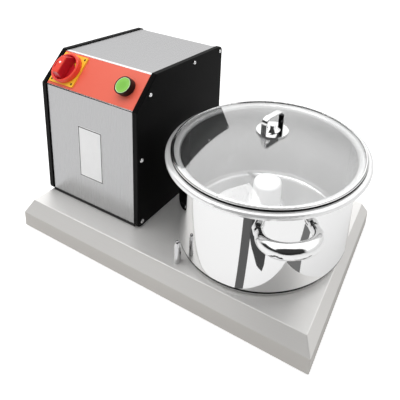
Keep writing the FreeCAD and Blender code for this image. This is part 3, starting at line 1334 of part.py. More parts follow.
def make_gland():
    """The cable gland in the back sheet, with a nut on either side."""
    gland = new_body("cable_gland")
    turned(gland, [
        ("gland_bore", "-(housing_sheet + gland_inside)"),
        ("gland_radius", "-(housing_sheet + gland_inside)"),
        ("gland_radius", 0), ("gland_collar", 0), ("gland_collar", "gland_out"),
        ("gland_bore + gland_mouth", "gland_dome"), ("gland_bore", "gland_dome"),
    ])
    for level in ("0", "-(housing_sheet + gland_nut)"):
        flats = new_sketch(gland, "XY_Plane", level)
        outline(flats, polygon(6, "gland_flats/cos(30)"))
        circles(flats, [(0, 0)], "gland_bore")
        pad(gland, flats, "gland_nut")
    return put(gland, "motor_x + gland_offset", "front_y + housing_depth", "tray_top + gland_height",
               axis=(-1, 0, 0), angle=90)


def make_contactor():
    body = new_body("contactor")
    sketch = new_sketch(body, "XY_Plane")
    outline(sketch, rectangle(0, "contactor_width", "-contactor_depth", 0))
    pad(body, sketch, "contactor_height")
    step = new_sketch(body, "YZ_Plane")
    outline(step, rectangle("-contactor_depth", "-(contactor_depth - contactor_step)",
                            "contactor_height - contactor_end", "contactor_height"))
    outline(step, rectangle("-contactor_depth", "-(contactor_depth - contactor_step)", 0, "contactor_end"))
    pocket(body, step, "contactor_width", back=True)
    return put(body, "motor_x - inner_half + inner_space",
               "front_y + housing_depth - housing_sheet - inner_space", "tray_top")


def make_capacitor():
    body = new_body("run_capacitor")
    turned(body, [
        (0, 0), ("capacitor_radius", 0), ("capacitor_radius", "capacitor_height"),
        ("capacitor_cap", "capacitor_height"), ("capacitor_cap", "capacitor_height + capacitor_end"),
        (0, "capacitor_height + capacitor_end"),
    ])
    return put(body, "motor_x + inner_half - inner_space - capacitor_radius",
               "front_y + housing_depth - housing_sheet - inner_space - capacitor_radius", "tray_top")


nodes = [make_tray(), make_bottom_cover()]
nodes += make_feet()
nodes += make_guide_pins()
nodes += [make_side_panel("left_side_panel", -1), make_side_panel("right_side_panel", 1)]
nodes += make_panel_screws("left", -1)
nodes += make_panel_screws("right", 1)
nodes += [make_front_sheet(), make_cover_sheet(), make_overlay()]
nodes += make_isolator()
nodes += make_button()
nodes += [make_pot()]
nodes += make_handles()
nodes += make_lid()
nodes += [make_hub(), make_insert()]
nodes.append(make_blade("lower_blade", "(hub_bottom - blade_sheet)", "hub_bore", "hub_radius", "blade_turn"))
nodes.append(make_blade("upper_blade", "upper_blade_height", "hub_waist + fit_gap",
                        "hub_waist + blade_ring", "(blade_turn + 180)"))
nodes += make_drive()
nodes += make_motor()
nodes += [make_gland(), make_contactor(), make_capacitor()]

doc.recompute()
for thing in doc.Objects:
    if "Invalid" in thing.State or "Error" in thing.State:
        raise RuntimeError(thing.Name + " failed: " + ", ".join(thing.State))
for node in nodes:
    if node.Shape.isNull() or not node.Shape.isValid():
        raise RuntimeError(node.Label + " has no valid shape")
for node in nodes:
    node.Shape.exportStep("parts/" + node.Label + ".step")
print(len(nodes), "pieces")
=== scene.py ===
import math
import bmesh
import bpy
from mathutils import Matrix, Vector


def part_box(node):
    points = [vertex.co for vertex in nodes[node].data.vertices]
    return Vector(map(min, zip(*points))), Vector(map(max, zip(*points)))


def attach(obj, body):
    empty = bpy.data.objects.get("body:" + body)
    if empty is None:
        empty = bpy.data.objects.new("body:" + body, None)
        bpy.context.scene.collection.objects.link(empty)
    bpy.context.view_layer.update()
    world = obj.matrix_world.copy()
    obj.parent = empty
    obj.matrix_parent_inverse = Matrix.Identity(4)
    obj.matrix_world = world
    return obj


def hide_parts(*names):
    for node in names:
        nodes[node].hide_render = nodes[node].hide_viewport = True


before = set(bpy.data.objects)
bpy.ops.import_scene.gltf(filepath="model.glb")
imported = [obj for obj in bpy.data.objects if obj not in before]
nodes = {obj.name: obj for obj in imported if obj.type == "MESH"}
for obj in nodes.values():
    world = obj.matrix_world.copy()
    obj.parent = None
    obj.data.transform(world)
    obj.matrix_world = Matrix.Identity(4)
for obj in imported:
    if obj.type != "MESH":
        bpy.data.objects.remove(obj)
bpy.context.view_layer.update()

# An electric onion chopper on a white floor. A satin steel tray carries a grey motor housing with
# sloped controls at the left, and a polished steel pot under a glass lid at the right.
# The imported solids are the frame, and each section below dresses one piece or group of pieces.


# Camera
# The camera stands before the machine's right half and looks down on it. Its lens is shifted,
# because the picture holds the lower left part of what a centred lens would see.
camera_place = (0.3728, -0.5838, 0.6033)
camera_tilt, camera_roll, camera_swing = 74.069, -5.163, 23.982
focal_length, sensor_width = 36.64, 36
shift_right, shift_up = -0.2183, -0.4096
nearest_seen, farthest_seen = 0.05, 30

lens = bpy.data.cameras.new("camera")
lens.sensor_width = sensor_width
lens.lens = focal_length
lens.shift_x, lens.shift_y = shift_right, shift_up
lens.clip_start, lens.clip_end = nearest_seen, farthest_seen
camera = bpy.data.objects.new("camera", lens)
camera.location = camera_place
camera.rotation_euler = [math.radians(angle) for angle in (camera_tilt, camera_roll, camera_swing)]
bpy.context.collection.objects.link(camera)
bpy.context.scene.camera = camera
bpy.context.scene.view_settings.view_transform = "Standard"


# Studio
# A white floor and white walls all round, brightest above, with soft boxes above and at the left
# that no surface mirrors. The lower wall on the camera's side is dark, which draws the polished
# steel.
floor_half = 4.0
floor_colour, floor_lift, mirrored_lift = "#E2E2E2", 0.67, 0.3
room_light_share, wall_level, ceiling_level, dark_level = 0.55, 0.85, 1.45, 0.03
ceiling_edge, dark_foot_edge, dark_top_edge = (0.25, 0.65), (0.06, 0.2), (0.5, 0.66)
dark_wall_way, dark_side_edge = (-0.1, -0.995, 0.0), (0.1, 0.4)
dark_corner_way, dark_corner_edge = (0.346, -0.743, 0.576), (0.7, 0.82)
# Dark cards that only mirrors see, painted reflections: how far a ray must go to see them, their height,
# and their grey glows and outlines.
card_reach, card_height = 0.085, 0.0006
painted_reflection_cards = [
    ("long_card", "#626262", ((0.138, -0.184), (0.157, -0.184), (0.222, -0.47), (0.147, -0.47))),
    ("short_card", "#4A4A4A", (
        (0.186, -0.4), (0.184, -0.337), (0.192, -0.304), (0.204, -0.276), (0.212, -0.249), (0.227, -0.231),
        (0.24, -0.241), (0.252, -0.259), (0.256, -0.285), (0.254, -0.311), (0.262, -0.38))),
    ("right_card", "#787878", (
        (0.295, -0.19), (0.295, -0.125), (0.351, -0.135), (0.428, -0.118), (0.46, -0.12), (0.46, -0.162),
        (0.384, -0.166), (0.36, -0.187))),
]
soft_boxes = [("box_above", (-0.3, -0.4, 1.9), 1.6, 21), ("box_left", (-1.9, -0.9, 1.1), 1.4, 5)]
lamp_aim = (0, 0, 0.15)


def linear(colour):
    """An sRGB hex colour as the linear red, green, blue and alpha that shaders use."""
    parts = [int(colour[place:place + 2], 16) / 255 for place in (1, 3, 5)]
    return [part / 12.92 if part <= 0.04045 else ((part + 0.055) / 1.055) ** 2.4 for part in parts] + [1]


def add_node(tree, kind, values=None, **settings):
    """Adds a node, sets it up, and fills its inputs with values or with other nodes' outputs.
    A Mix node's inputs are 0 for its share, 2 and 3 for numbers, and 6 and 7 for colours."""
    node = tree.nodes.new(kind)
    for name, setting in settings.items():
        setattr(node, name, setting)
    for name, value in (values or {}).items():
        if isinstance(value, bpy.types.NodeSocket):
            tree.links.new(value, node.inputs[name])
        else:
            node.inputs[name].default_value = value
    return node


def new_material(name):
    """An empty node material, its tree, and the surface socket that its shader goes into."""
    material = bpy.data.materials.new(name)
    material.use_nodes = True
    tree = material.node_tree
    tree.nodes.clear()
    out = add_node(tree, "ShaderNodeOutputMaterial")
    return material, tree, out.inputs["Surface"]


def seen_rays(tree):
    """Two shares: of rays that see the room straight, in a mirror or through glass, and of
    straight ones alone."""
    rays = add_node(tree, "ShaderNodeLightPath").outputs
    direct = add_node(tree, "ShaderNodeMath", {
        0: rays["Is Camera Ray"], 1: rays["Is Glossy Ray"]}, operation="MAXIMUM")
    seen = add_node(tree, "ShaderNodeMath", {
        0: direct.outputs[0], 1: rays["Is Transmission Ray"]}, operation="MAXIMUM")
    return seen.outputs[0], rays["Is Camera Ray"]


# White paper, matt: it looks white to the camera and in mirrors, and keeps the machine's shadow.
paper, tree, surface = new_material("white_paper_floor")
seen, straight = seen_rays(tree)
matt = add_node(tree, "ShaderNodeBsdfDiffuse", {"Color": linear(floor_colour)})
mirrored = add_node(tree, "ShaderNodeMath", {0: seen, 1: mirrored_lift}, operation="MULTIPLY")
lift = add_node(tree, "ShaderNodeMix", {
    0: straight, 2: mirrored.outputs[0], 3: floor_lift}, data_type="FLOAT")
glow = add_node(tree, "ShaderNodeEmission", {"Color": linear("#FFFFFF"), "Strength": lift.outputs[0]})
both = add_node(tree, "ShaderNodeAddShader", {0: matt.outputs[0], 1: glow.outputs[0]})
tree.links.new(both.outputs[0], surface)

mesh = bpy.data.meshes.new("studio_floor")
corners = [(x * floor_half, y * floor_half, 0) for x, y in ((-1, -1), (1, -1), (1, 1), (-1, 1))]
mesh.from_pydata(corners, [], [(0, 1, 2, 3)])
mesh.materials.append(paper)
floor = bpy.data.objects.new("studio_floor", mesh)
bpy.context.collection.objects.link(floor)

# Three dark cards lie on the floor before the pot as painted reflections: the camera, diffuse light and
# shadows pass them by, and their grey glow shows only in the pot's polished wall, as upright dark bands.
# The way from the tray to them is too short for them to show in it.
for name, colour, outline in painted_reflection_cards:
    card, tree, surface = new_material(name)
    length = add_node(tree, "ShaderNodeLightPath").outputs["Ray Length"]
    far = add_node(tree, "ShaderNodeMath", {0: length, 1: card_reach}, operation="GREATER_THAN")
    glow = add_node(tree, "ShaderNodeEmission", {"Color": linear(colour), "Strength": 1.0})
    clear = add_node(tree, "ShaderNodeBsdfTransparent")
    shown = add_node(tree, "ShaderNodeMixShader", {
        0: far.outputs[0], 1: clear.outputs[0], 2: glow.outputs[0]})
    tree.links.new(shown.outputs[0], surface)
    mesh = bpy.data.meshes.new(name)
    mesh.from_pydata([(x, y, card_height) for x, y in outline], [], [tuple(range(len(outline)))])
    mesh.materials.append(card)
    strip = bpy.data.objects.new(name, mesh)
    strip.visible_camera = strip.visible_diffuse = strip.visible_shadow = False
    bpy.context.collection.objects.link(strip)

world = bpy.data.worlds.new("studio")
world.use_nodes = True
bpy.context.scene.world = world
tree = world.node_tree
tree.nodes.clear()
seen, straight = seen_rays(tree)
way = add_node(tree, "ShaderNodeTexCoord").outputs["Generated"]
flat_way = add_node(tree, "ShaderNodeVectorMath", {0: way, 1: (1, 1, 0)}, operation="MULTIPLY")
level_way = add_node(tree, "ShaderNodeVectorMath", {0: flat_way.outputs[0]}, operation="NORMALIZE")
aside = add_node(tree, "ShaderNodeVectorMath", {
    0: level_way.outputs[0], 1: dark_wall_way}, operation="DOT_PRODUCT").outputs["Value"]
near = add_node(tree, "ShaderNodeVectorMath", {
    0: way, 1: dark_corner_way}, operation="DOT_PRODUCT").outputs["Value"]
rise = add_node(tree, "ShaderNodeSeparateXYZ", {0: way}).outputs["Z"]
changes = []
for value, (start, end), first, last in (
        (rise, dark_foot_edge, 0.0, 1.0), (rise, dark_top_edge, 1.0, 0.0),
        (aside, dark_side_edge, 0.0, 1.0), (near, dark_corner_edge, 0.0, 1.0),
        (rise, ceiling_edge, wall_level, ceiling_level)):
    change = add_node(tree, "ShaderNodeMapRange", {
        "Value": value, "From Min": start, "From Max": end, "To Min": first, "To Max": last},
        interpolation_type="SMOOTHSTEP")
    changes.append(change.outputs[0])
above_foot, below_top, beside, in_corner, white = changes
in_height = add_node(tree, "ShaderNodeMath", {0: above_foot, 1: below_top}, operation="MULTIPLY")
on_wall = add_node(tree, "ShaderNodeMath", {0: in_height.outputs[0], 1: beside}, operation="MULTIPLY")
dark = add_node(tree, "ShaderNodeMath", {0: on_wall.outputs[0], 1: in_corner}, operation="MAXIMUM")
dimmed = add_node(tree, "ShaderNodeMapRange", {
    "Value": dark.outputs[0], "To Min": 1.0, "To Max": dark_level})
mirrored = add_node(tree, "ShaderNodeMath", {0: dimmed.outputs[0], 1: white}, operation="MULTIPLY")
walls = add_node(tree, "ShaderNodeMix", {0: straight, 2: mirrored.outputs[0], 3: 1.0}, data_type="FLOAT")
light = add_node(tree, "ShaderNodeBackground", {"Color": linear("#FFFFFF"), "Strength": room_light_share})
shown = add_node(tree, "ShaderNodeBackground", {"Color": linear("#FFFFFF"), "Strength": walls.outputs[0]})
room = add_node(tree, "ShaderNodeMixShader", {0: seen, 1: light.outputs[0], 2: shown.outputs[0]})
add_node(tree, "ShaderNodeOutputWorld", {"Surface": room.outputs[0]})

for name, place, width, power in soft_boxes:
    lamp = bpy.data.lights.new(name, "AREA")
    lamp.size = width
    lamp.energy = power
    lamp_object = bpy.data.objects.new(name, lamp)
    lamp_object.visible_glossy = False
    lamp_object.location = place
    lamp_object.rotation_mode = "QUATERNION"
    lamp_object.rotation_quaternion = (Vector(lamp_aim) - Vector(place)).to_track_quat("-Z", "Y")
    bpy.context.collection.objects.link(lamp_object)


# Tray
# One folded sheet of stainless steel with a sloped band and an upright skirt, welded at its
# corners and ground along its length to a satin finish.
tray_top = 0.0552
# Heights where the painted shade on the skirt and band fades out, and how much of it the band keeps.
skirt_edge, band_share, top_edge = (0.0309, 0.0329), 0.4, (0.0544, 0.0551)
tray_metallic = 0.66


def grain(tree, waves, detail=3.0):
    """Noise on the piece's own place, with so many waves in a metre along each axis."""
    place = add_node(tree, "ShaderNodeTexCoord")
    scaled = add_node(tree, "ShaderNodeMapping", {"Vector": place.outputs["Object"], "Scale": waves})
    noise = add_node(tree, "ShaderNodeTexNoise", {
        "Vector": scaled.outputs[0], "Scale": 1.0, "Detail": detail})
    return noise.outputs["Fac"]


def ground_steel(name, dark, light, rough, waves, depth=0.12, metallic=1.0, painted_light_share=None, painted_light_colour=None):
    """Steel ground with a belt: fine parallel lines that draw each reflection out across them.
    Real lines are 0.1 mm apart. They are drawn 0.6 to 4 mm apart, to show at all. Where a painted light
    share is given, the steel takes that share of the painted light colour: a painted shade or a painted
    highlight."""
    material, tree, surface = new_material(name)
    lines = grain(tree, waves)
    relief = add_node(tree, "ShaderNodeBump", {"Height": lines, "Strength": depth, "Distance": 0.0002})
    colour = add_node(tree, "ShaderNodeMix", {
        0: lines, 6: linear(dark), 7: linear(light)}, data_type="RGBA")
    if painted_light_share:
        colour = add_node(tree, "ShaderNodeMix", {
            0: painted_light_share(tree), 6: colour.outputs[2], 7: linear(painted_light_colour)}, data_type="RGBA")
    gloss = add_node(tree, "ShaderNodeMapRange", {
        "Value": lines, "To Min": rough - 0.02, "To Max": rough + 0.02})
    metal = add_node(tree, "ShaderNodeBsdfPrincipled", {
        "Base Color": colour.outputs[2], "Metallic": metallic, "Roughness": gloss.outputs[0],
        "Normal": relief.outputs[0]})
    tree.links.new(metal.outputs[0], surface)
    return material


def dress(material, *names):
    """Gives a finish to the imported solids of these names."""
    for name in names:
        for slot in nodes[name].material_slots:
            slot.material = material


def painted_skirt_shade(tree):
    """The share of painted shade on the tray: all of the skirt, a part of the slanted band, nothing on
    top.
    """
    place = add_node(tree, "ShaderNodeTexCoord").outputs["Object"]
    height = add_node(tree, "ShaderNodeSeparateXYZ", {0: place}).outputs["Z"]
    shares = []
    for (start, end), above in ((skirt_edge, band_share), (top_edge, 0.0)):
        share = add_node(tree, "ShaderNodeMapRange", {
            "Value": height, "From Min": start, "From Max": end, "To Min": 1.0, "To Max": above},
            interpolation_type="SMOOTHSTEP")
        shares.append(share.outputs[0])
    return add_node(tree, "ShaderNodeMath", {0: shares[0], 1: shares[1]}, operation="MULTIPLY").outputs[0]


# Satin stainless sheet, pale, with soft wide reflections. The tray's skin scatters light like a thin haze,
# and its skirt and part of its band are painted darker and warmer, a painted shade.
tray_steel = ground_steel("satin_stainless_sheet", "#EAE9E7", "#F2F1EF", 0.5, (5, 700, 700), 0.04)
skirted_steel = ground_steel("satin_stainless_tray", "#F6F5F3", "#FBFAF8", 0.5, (5, 700, 700), 0.04,
                             tray_metallic, painted_skirt_shade, "#C1BEBA")
dress(skirted_steel, "base_tray")


# Bottom cover and feet
# A flat sheet closes the tray from below with small screws, and four rubber discs under it
# carry the machine.
cover_screws = [(x, y, 0.003) for x in (-0.26, -0.0084, 0.243) for y in (-0.135, 0.128)]
cover_head, cover_head_height, cover_socket = 0.0035, 0.0016, 0.0012


def plastic_skin(tree, surface, colour, pores, gloss, depth, distance=0.0002, **sockets):
    """Ends a plastic's material: one colour under a skin whose relief and gloss follow its pores."""
    relief = add_node(tree, "ShaderNodeBump", {"Height": pores, "Strength": depth, "Distance": distance})
    rough = add_node(tree, "ShaderNodeMapRange", {"Value": pores, "To Min": gloss[0], "To Max": gloss[1]})
    values = {"Base Color": colour, "Roughness": rough.outputs[0], "Normal": relief.outputs[0]}
    values.update({socket.replace("_", " "): value for socket, value in sockets.items()})
    skin = add_node(tree, "ShaderNodeBsdfPrincipled", values)
    tree.links.new(skin.outputs[0], surface)


def moulded(name, dark, light, rough, waves, depth=0.2, **sockets):
    """Moulded plastic or rubber: one colour with faint clouds and the fine grain of its mould.
    The real grain is a few tenths of a millimetre and is drawn 0.7 to 3 mm wide, to show at all."""
    material, tree, surface = new_material(name)
    clouds = grain(tree, (12, 12, 12), 2.0)
    pores = grain(tree, (waves, waves, waves))
    colour = add_node(tree, "ShaderNodeMix", {
        0: clouds, 6: linear(dark), 7: linear(light)}, data_type="RGBA")
    plastic_skin(tree, surface, colour.outputs[2], pores, (rough - 0.06, rough + 0.06), depth, 0.0003,
                 **sockets)
    return material


def make_screw_tree():
    """Round screw heads with a six-sided socket, one on each point, standing along its facing."""
    tree = bpy.data.node_groups.new("socket_screws", "GeometryNodeTree")
    kinds = (("Geometry", "NodeSocketGeometry"), ("Head Radius", "NodeSocketFloat"),
             ("Head Height", "NodeSocketFloat"), ("Socket Half Width", "NodeSocketFloat"),
             ("Finish", "NodeSocketMaterial"))
    for name, kind in kinds:
        tree.interface.new_socket(name=name, in_out="INPUT", socket_type=kind)
    tree.interface.new_socket(name="Geometry", in_out="OUTPUT", socket_type="NodeSocketGeometry")
    given = add_node(tree, "NodeGroupInput").outputs

    # From the middle of the underside out, over the dome, and down into the socket.
    radii = (0, 1, 1, 0.93, 0.75, 0.55, 1, 0.96, 0.5, 0)
    heights = (0, 0, 0.3, 0.62, 0.88, 1, 1, 0.45, 0.4, 0.38)
    around, rows, socket_row, side_angle, weld = 24, 9, 5.5, math.pi / 3, 0.00001
    grid = add_node(tree, "GeometryNodeMeshGrid", {
        "Size X": 1.0, "Size Y": 1.0, "Vertices X": around + 1, "Vertices Y": rows + 1})
    position = add_node(tree, "GeometryNodeInputPosition").outputs[0]
    place = add_node(tree, "ShaderNodeSeparateXYZ", {0: position})
    turn = add_node(tree, "ShaderNodeMath", {0: place.outputs["X"], 1: 0.5}, operation="ADD")
    angle = add_node(tree, "ShaderNodeMath", {0: turn.outputs[0], 1: 2 * math.pi}, operation="MULTIPLY")
    along = add_node(tree, "ShaderNodeMath", {0: place.outputs["Y"], 1: 0.5}, operation="ADD")
    profiles = []
    for steps in (radii, heights):
        curve = add_node(tree, "ShaderNodeFloatCurve", {"Value": along.outputs[0]})
        points = curve.mapping.curves[0].points
        for number in range(1, rows):
            points.new(number / rows, steps[number])
        points[0].location, points[rows].location = (0, steps[0]), (1, steps[rows])
        for point in points:
            point.handle_type = "VECTOR"
        curve.mapping.update()
        profiles.append(curve.outputs[0])

    # The socket's wall is as far out as a six-sided hole has it in each direction.
    side = add_node(tree, "ShaderNodeMath", {0: angle.outputs[0], 1: side_angle}, operation="MODULO")
    lean = add_node(tree, "ShaderNodeMath", {0: side.outputs[0], 1: side_angle / 2}, operation="SUBTRACT")
    cosine = add_node(tree, "ShaderNodeMath", {0: lean.outputs[0]}, operation="COSINE")
    flat = add_node(tree, "ShaderNodeMath", {
        0: given["Socket Half Width"], 1: cosine.outputs[0]}, operation="DIVIDE")
    inside = add_node(tree, "ShaderNodeMath", {
        0: along.outputs[0], 1: socket_row / rows}, operation="GREATER_THAN")
    whole = add_node(tree, "ShaderNodeMix", {
        0: inside.outputs[0], 2: given["Head Radius"], 3: flat.outputs[0]}, data_type="FLOAT")
    radius = add_node(tree, "ShaderNodeMath", {0: whole.outputs[0], 1: profiles[0]}, operation="MULTIPLY")
    height = add_node(tree, "ShaderNodeMath", {
        0: given["Head Height"], 1: profiles[1]}, operation="MULTIPLY")
    sides = []
    for operation in ("COSINE", "SINE"):
        part = add_node(tree, "ShaderNodeMath", {0: angle.outputs[0]}, operation=operation)
        reach = add_node(tree, "ShaderNodeMath", {
            0: part.outputs[0], 1: radius.outputs[0]}, operation="MULTIPLY")
        sides.append(reach.outputs[0])
    shape = add_node(tree, "ShaderNodeCombineXYZ", {0: sides[0], 1: sides[1], 2: height.outputs[0]})
    head = add_node(tree, "GeometryNodeSetPosition", {
        "Geometry": grid.outputs["Mesh"], "Position": shape.outputs[0]})
    closed = add_node(tree, "GeometryNodeMergeByDistance", {
        "Geometry": head.outputs[0], "Distance": weld})

    facing = add_node(tree, "GeometryNodeInputNamedAttribute", {
        "Name": "facing"}, data_type="FLOAT_VECTOR")
    turned = add_node(tree, "FunctionNodeAlignRotationToVector", {
        "Vector": facing.outputs["Attribute"]}, axis="Z")
    heads = add_node(tree, "GeometryNodeInstanceOnPoints", {
        "Points": given["Geometry"], "Instance": closed.outputs[0], "Rotation": turned.outputs[0]})
    real = add_node(tree, "GeometryNodeRealizeInstances", {"Geometry": heads.outputs[0]})
    smooth = add_node(tree, "GeometryNodeSetShadeSmooth", {"Geometry": real.outputs[0]})
    finished = add_node(tree, "GeometryNodeSetMaterial", {
        "Geometry": smooth.outputs[0], "Material": given["Finish"]})
    add_node(tree, "NodeGroupOutput", {"Geometry": finished.outputs[0]})
    return tree


screw_tree = make_screw_tree()


def fit_screws(name, places, ways, radius, height, socket, finish, body):
    """Screw heads at these places, each facing its way, as one piece that rides a body."""
    mesh = bpy.data.meshes.new(name)
    mesh.from_pydata(places, [], [])
    facing = mesh.attributes.new("facing", "FLOAT_VECTOR", "POINT")
    for entry, way in zip(facing.data, ways):
        entry.vector = way
    piece = bpy.data.objects.new(name, mesh)
    bpy.context.collection.objects.link(piece)
    modifier = piece.modifiers.new("screws", "NODES")
    modifier.node_group = screw_tree
    wanted = {"Head Radius": radius, "Head Height": height, "Socket Half Width": socket, "Finish": finish}
    for item in screw_tree.interface.items_tree:
        if item.in_out == "INPUT" and item.name in wanted:
            modifier[item.identifier] = wanted[item.name]
    made = piece.evaluated_get(bpy.context.evaluated_depsgraph_get())
    baked = bpy.data.meshes.new_from_object(made)
    piece.modifiers.clear()
    piece.data = baked
    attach(piece, body)
    return piece


# Black rubber, matt, with the fine grain of its mould.
foot_rubber = moulded("black_rubber_feet", "#101011", "#1A1A1B", 0.62, 1500, 0.3)
# Bright stainless screws, tumbled smooth.
screw_steel = ground_steel("tumbled_stainless_screws", "#D8D8D8", "#F2F2F2", 0.18, (400, 400, 400), 0.05)
dress(tray_steel, "bottom_cover")
dress(foot_rubber, "foot_1", "foot_2", "foot_3", "foot_4")
fit_screws("cover_screws", cover_screws, [(0, 0, -1)] * len(cover_screws), cover_head, cover_head_height,
           cover_socket, screw_steel, "base")


# Guide pins
# Two turned steel pins with rounded ends stand on the tray beside the pot and keep it in place.
# Turned steel: fine rings round each pin, bright where they catch the light.
pin_steel = ground_steel("turned_steel_pins", "#B9B9BA", "#E4E4E5", 0.2, (60, 60, 1800), 0.1)
dress(pin_steel, "front_guide_pin", "rear_guide_pin")


# Motor and electrics inside the housing
# A cast motor stands on the tray, with its shaft down through it and a fan under a cover at its
# top. A contactor and a capacitor sit beside it.
# Sand-cast iron under grey paint: a lumpy skin, half matt.
cast_iron = moulded("painted_cast_iron", "#5E6163", "#74777A", 0.55, 500, 0.5)
# Machined steel, turned on a lathe.
drive_steel = ground_steel("turned_drive_steel", "#8C8D8F", "#B4B5B7", 0.3, (80, 80, 1200), 0.1)
# Dark grey phenolic plastic of switchgear and fans.
inner_plastic = moulded("dark_phenolic", "#2C2C2F", "#3C3C40", 0.45, 900)
# Cast aluminium, turned bright on its rims.
aluminium = ground_steel("turned_aluminium", "#A9ACAF", "#CDD0D3", 0.34, (150, 150, 1200), 0.15)
dress(cast_iron, "motor_lower_shield", "motor_casing", "motor_upper_shield")
dress(drive_steel, "motor_shaft")
dress(inner_plastic, "motor_fan", "contactor", "button_contact")
dress(aluminium, "run_capacitor")
dress(tray_steel, "fan_cover")


# Front sheet and its rating plate
# A bent satin sheet closes the housing in front. A pale plastic film with a thin dark border is
# glued to it, left bare.
label_place = (-0.1793, -0.1214, 0.1655)
label_half_width, label_half_height, label_corner = 0.0285, 0.0515, 0.003
label_thickness, label_edge = 0.0004, 0.0001
border_inset, border_width = 0.0009, 0.0018


def piece_of(name, shape, place, material, body, crease=35):
    """Makes a shape a piece of the machine: in its place, shaded, dressed and riding its body. Its
    edges stay sharp where they turn by more than crease degrees."""
    bmesh.ops.transform(shape, matrix=place, verts=shape.verts)
    bmesh.ops.recalc_face_normals(shape, faces=shape.faces)
    mesh = bpy.data.meshes.new(name)
    shape.to_mesh(mesh)
    shape.free()
    mesh.shade_smooth()
    mesh.set_sharp_from_angle(angle=math.radians(crease))
    mesh.materials.append(material)
    piece = bpy.data.objects.new(name, mesh)
    bpy.context.collection.objects.link(piece)
    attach(piece, body)


def cut_sheet(corners, thickness, edge):
    """A flat piece with this outline, its upper edge broken by a small bevel."""
    shape = bmesh.new()
    bottom = [shape.verts.new((x, y, 0)) for x, y in corners]
    base = shape.faces.new(bottom)
    grown = bmesh.ops.extrude_face_region(shape, geom=[base], use_keep_orig=True)
    top = [item for item in grown["geom"] if isinstance(item, bmesh.types.BMVert)]
    bmesh.ops.translate(shape, verts=top, vec=(0, 0, thickness))
    rim = [item for item in shape.edges if all(vert in top for vert in item.verts)]
    bmesh.ops.bevel(shape, geom=rim, offset=edge, segments=2, affect="EDGES")
    return shape


def rounded_outline(half_width, half_height, corner, steps=6):
    """The corners of an upright rectangle with rounded corners, counterclockwise."""
    points = []
    for number, (x, y) in enumerate(((1, 1), (-1, 1), (-1, -1), (1, -1))):
        for step in range(steps + 1):
            angle = math.radians(90 * (number + step / steps))
            points.append((x * (half_width - corner) + corner * math.cos(angle),
                           y * (half_height - corner) + corner * math.sin(angle)))
    return points


# Satin stainless sheet ground crosswise, a little darker than the tray.
housing_steel = ground_steel("satin_stainless_housing", "#B6B6B7", "#B9B9BA", 0.27, (700, 5, 12), 0.01)
dress(housing_steel, "front_sheet")

# Polyester film: pale and half glossy, with a printed dark line along its edge.
film, tree, surface = new_material("pale_polyester_film")
place = add_node(tree, "ShaderNodeTexCoord").outputs["Object"]
centred = add_node(tree, "ShaderNodeVectorMath", {0: place, 1: label_place}, operation="SUBTRACT")
size = add_node(tree, "ShaderNodeVectorMath", {0: centred.outputs[0]}, operation="ABSOLUTE")
parts = add_node(tree, "ShaderNodeSeparateXYZ", {0: size.outputs[0]})
depths = []
for side, half in (("X", label_half_width), ("Z", label_half_height)):
    depth = add_node(tree, "ShaderNodeMath", {
        0: half - border_inset, 1: parts.outputs[side]}, operation="SUBTRACT")
    depths.append(depth.outputs[0])
depth = add_node(tree, "ShaderNodeMath", {0: depths[0], 1: depths[1]}, operation="MINIMUM")
middle = add_node(tree, "ShaderNodeMath", {0: depth.outputs[0], 1: border_width / 2}, operation="SUBTRACT")
away = add_node(tree, "ShaderNodeMath", {0: middle.outputs[0]}, operation="ABSOLUTE")
line = add_node(tree, "ShaderNodeMath", {0: away.outputs[0], 1: border_width / 2}, operation="LESS_THAN")
haze = grain(tree, (60, 60, 60))
pale = add_node(tree, "ShaderNodeMix", {
    0: haze, 6: linear("#F4F4F4"), 7: linear("#FCFCFC")}, data_type="RGBA")
shade = add_node(tree, "ShaderNodeMix", {
    0: line.outputs[0], 6: pale.outputs[2], 7: linear("#1C1C1E")}, data_type="RGBA")
plastic_skin(tree, surface, shade.outputs[2], haze, (0.3, 0.4), 0.05)
upright = Matrix.Rotation(math.radians(90), 4, "X")
label = cut_sheet(rounded_outline(label_half_width, label_half_height, label_corner), label_thickness,
                  label_edge)
piece_of("rating_film", label, Matrix.Translation(label_place) @ upright, film, "base")

# A thin black strip along the sheet's foot, against the tray, is a painted shadow: a dark piece that draws
# the shade in the gap under the sheet.
bead_half, bead_height, bead_corner, bead_thickness, bead_edge = 0.1019, 0.0042, 0.0006, 0.0012, 0.0003
bead_rubber = moulded("black_shadow_bead", "#08080A", "#0F0F11", 0.5, 1200)
bead_place = Matrix.Translation((label_place[0], label_place[1], tray_top + bead_height / 2))
bead = cut_sheet(rounded_outline(bead_half, bead_height / 2, bead_corner), bead_thickness, bead_edge)
piece_of("foot_bead", bead, bead_place @ upright, bead_rubber, "base")


# Cover sheet
# A second bent sheet runs over the slope, the top and the back, with vent slots behind. It is ground like
# the front sheet, and it is painted bright above and below the slope, a painted highlight along the bends.
# The painted highlight follows these two lines, the slope's bends seen from the side, and fades out
# between these distances.
highlight_lines = ((0, -0.0761, 0.3322), (0, -0.1214, 0.2797))
highlight_from, highlight_to = 0.0036, 0.00216


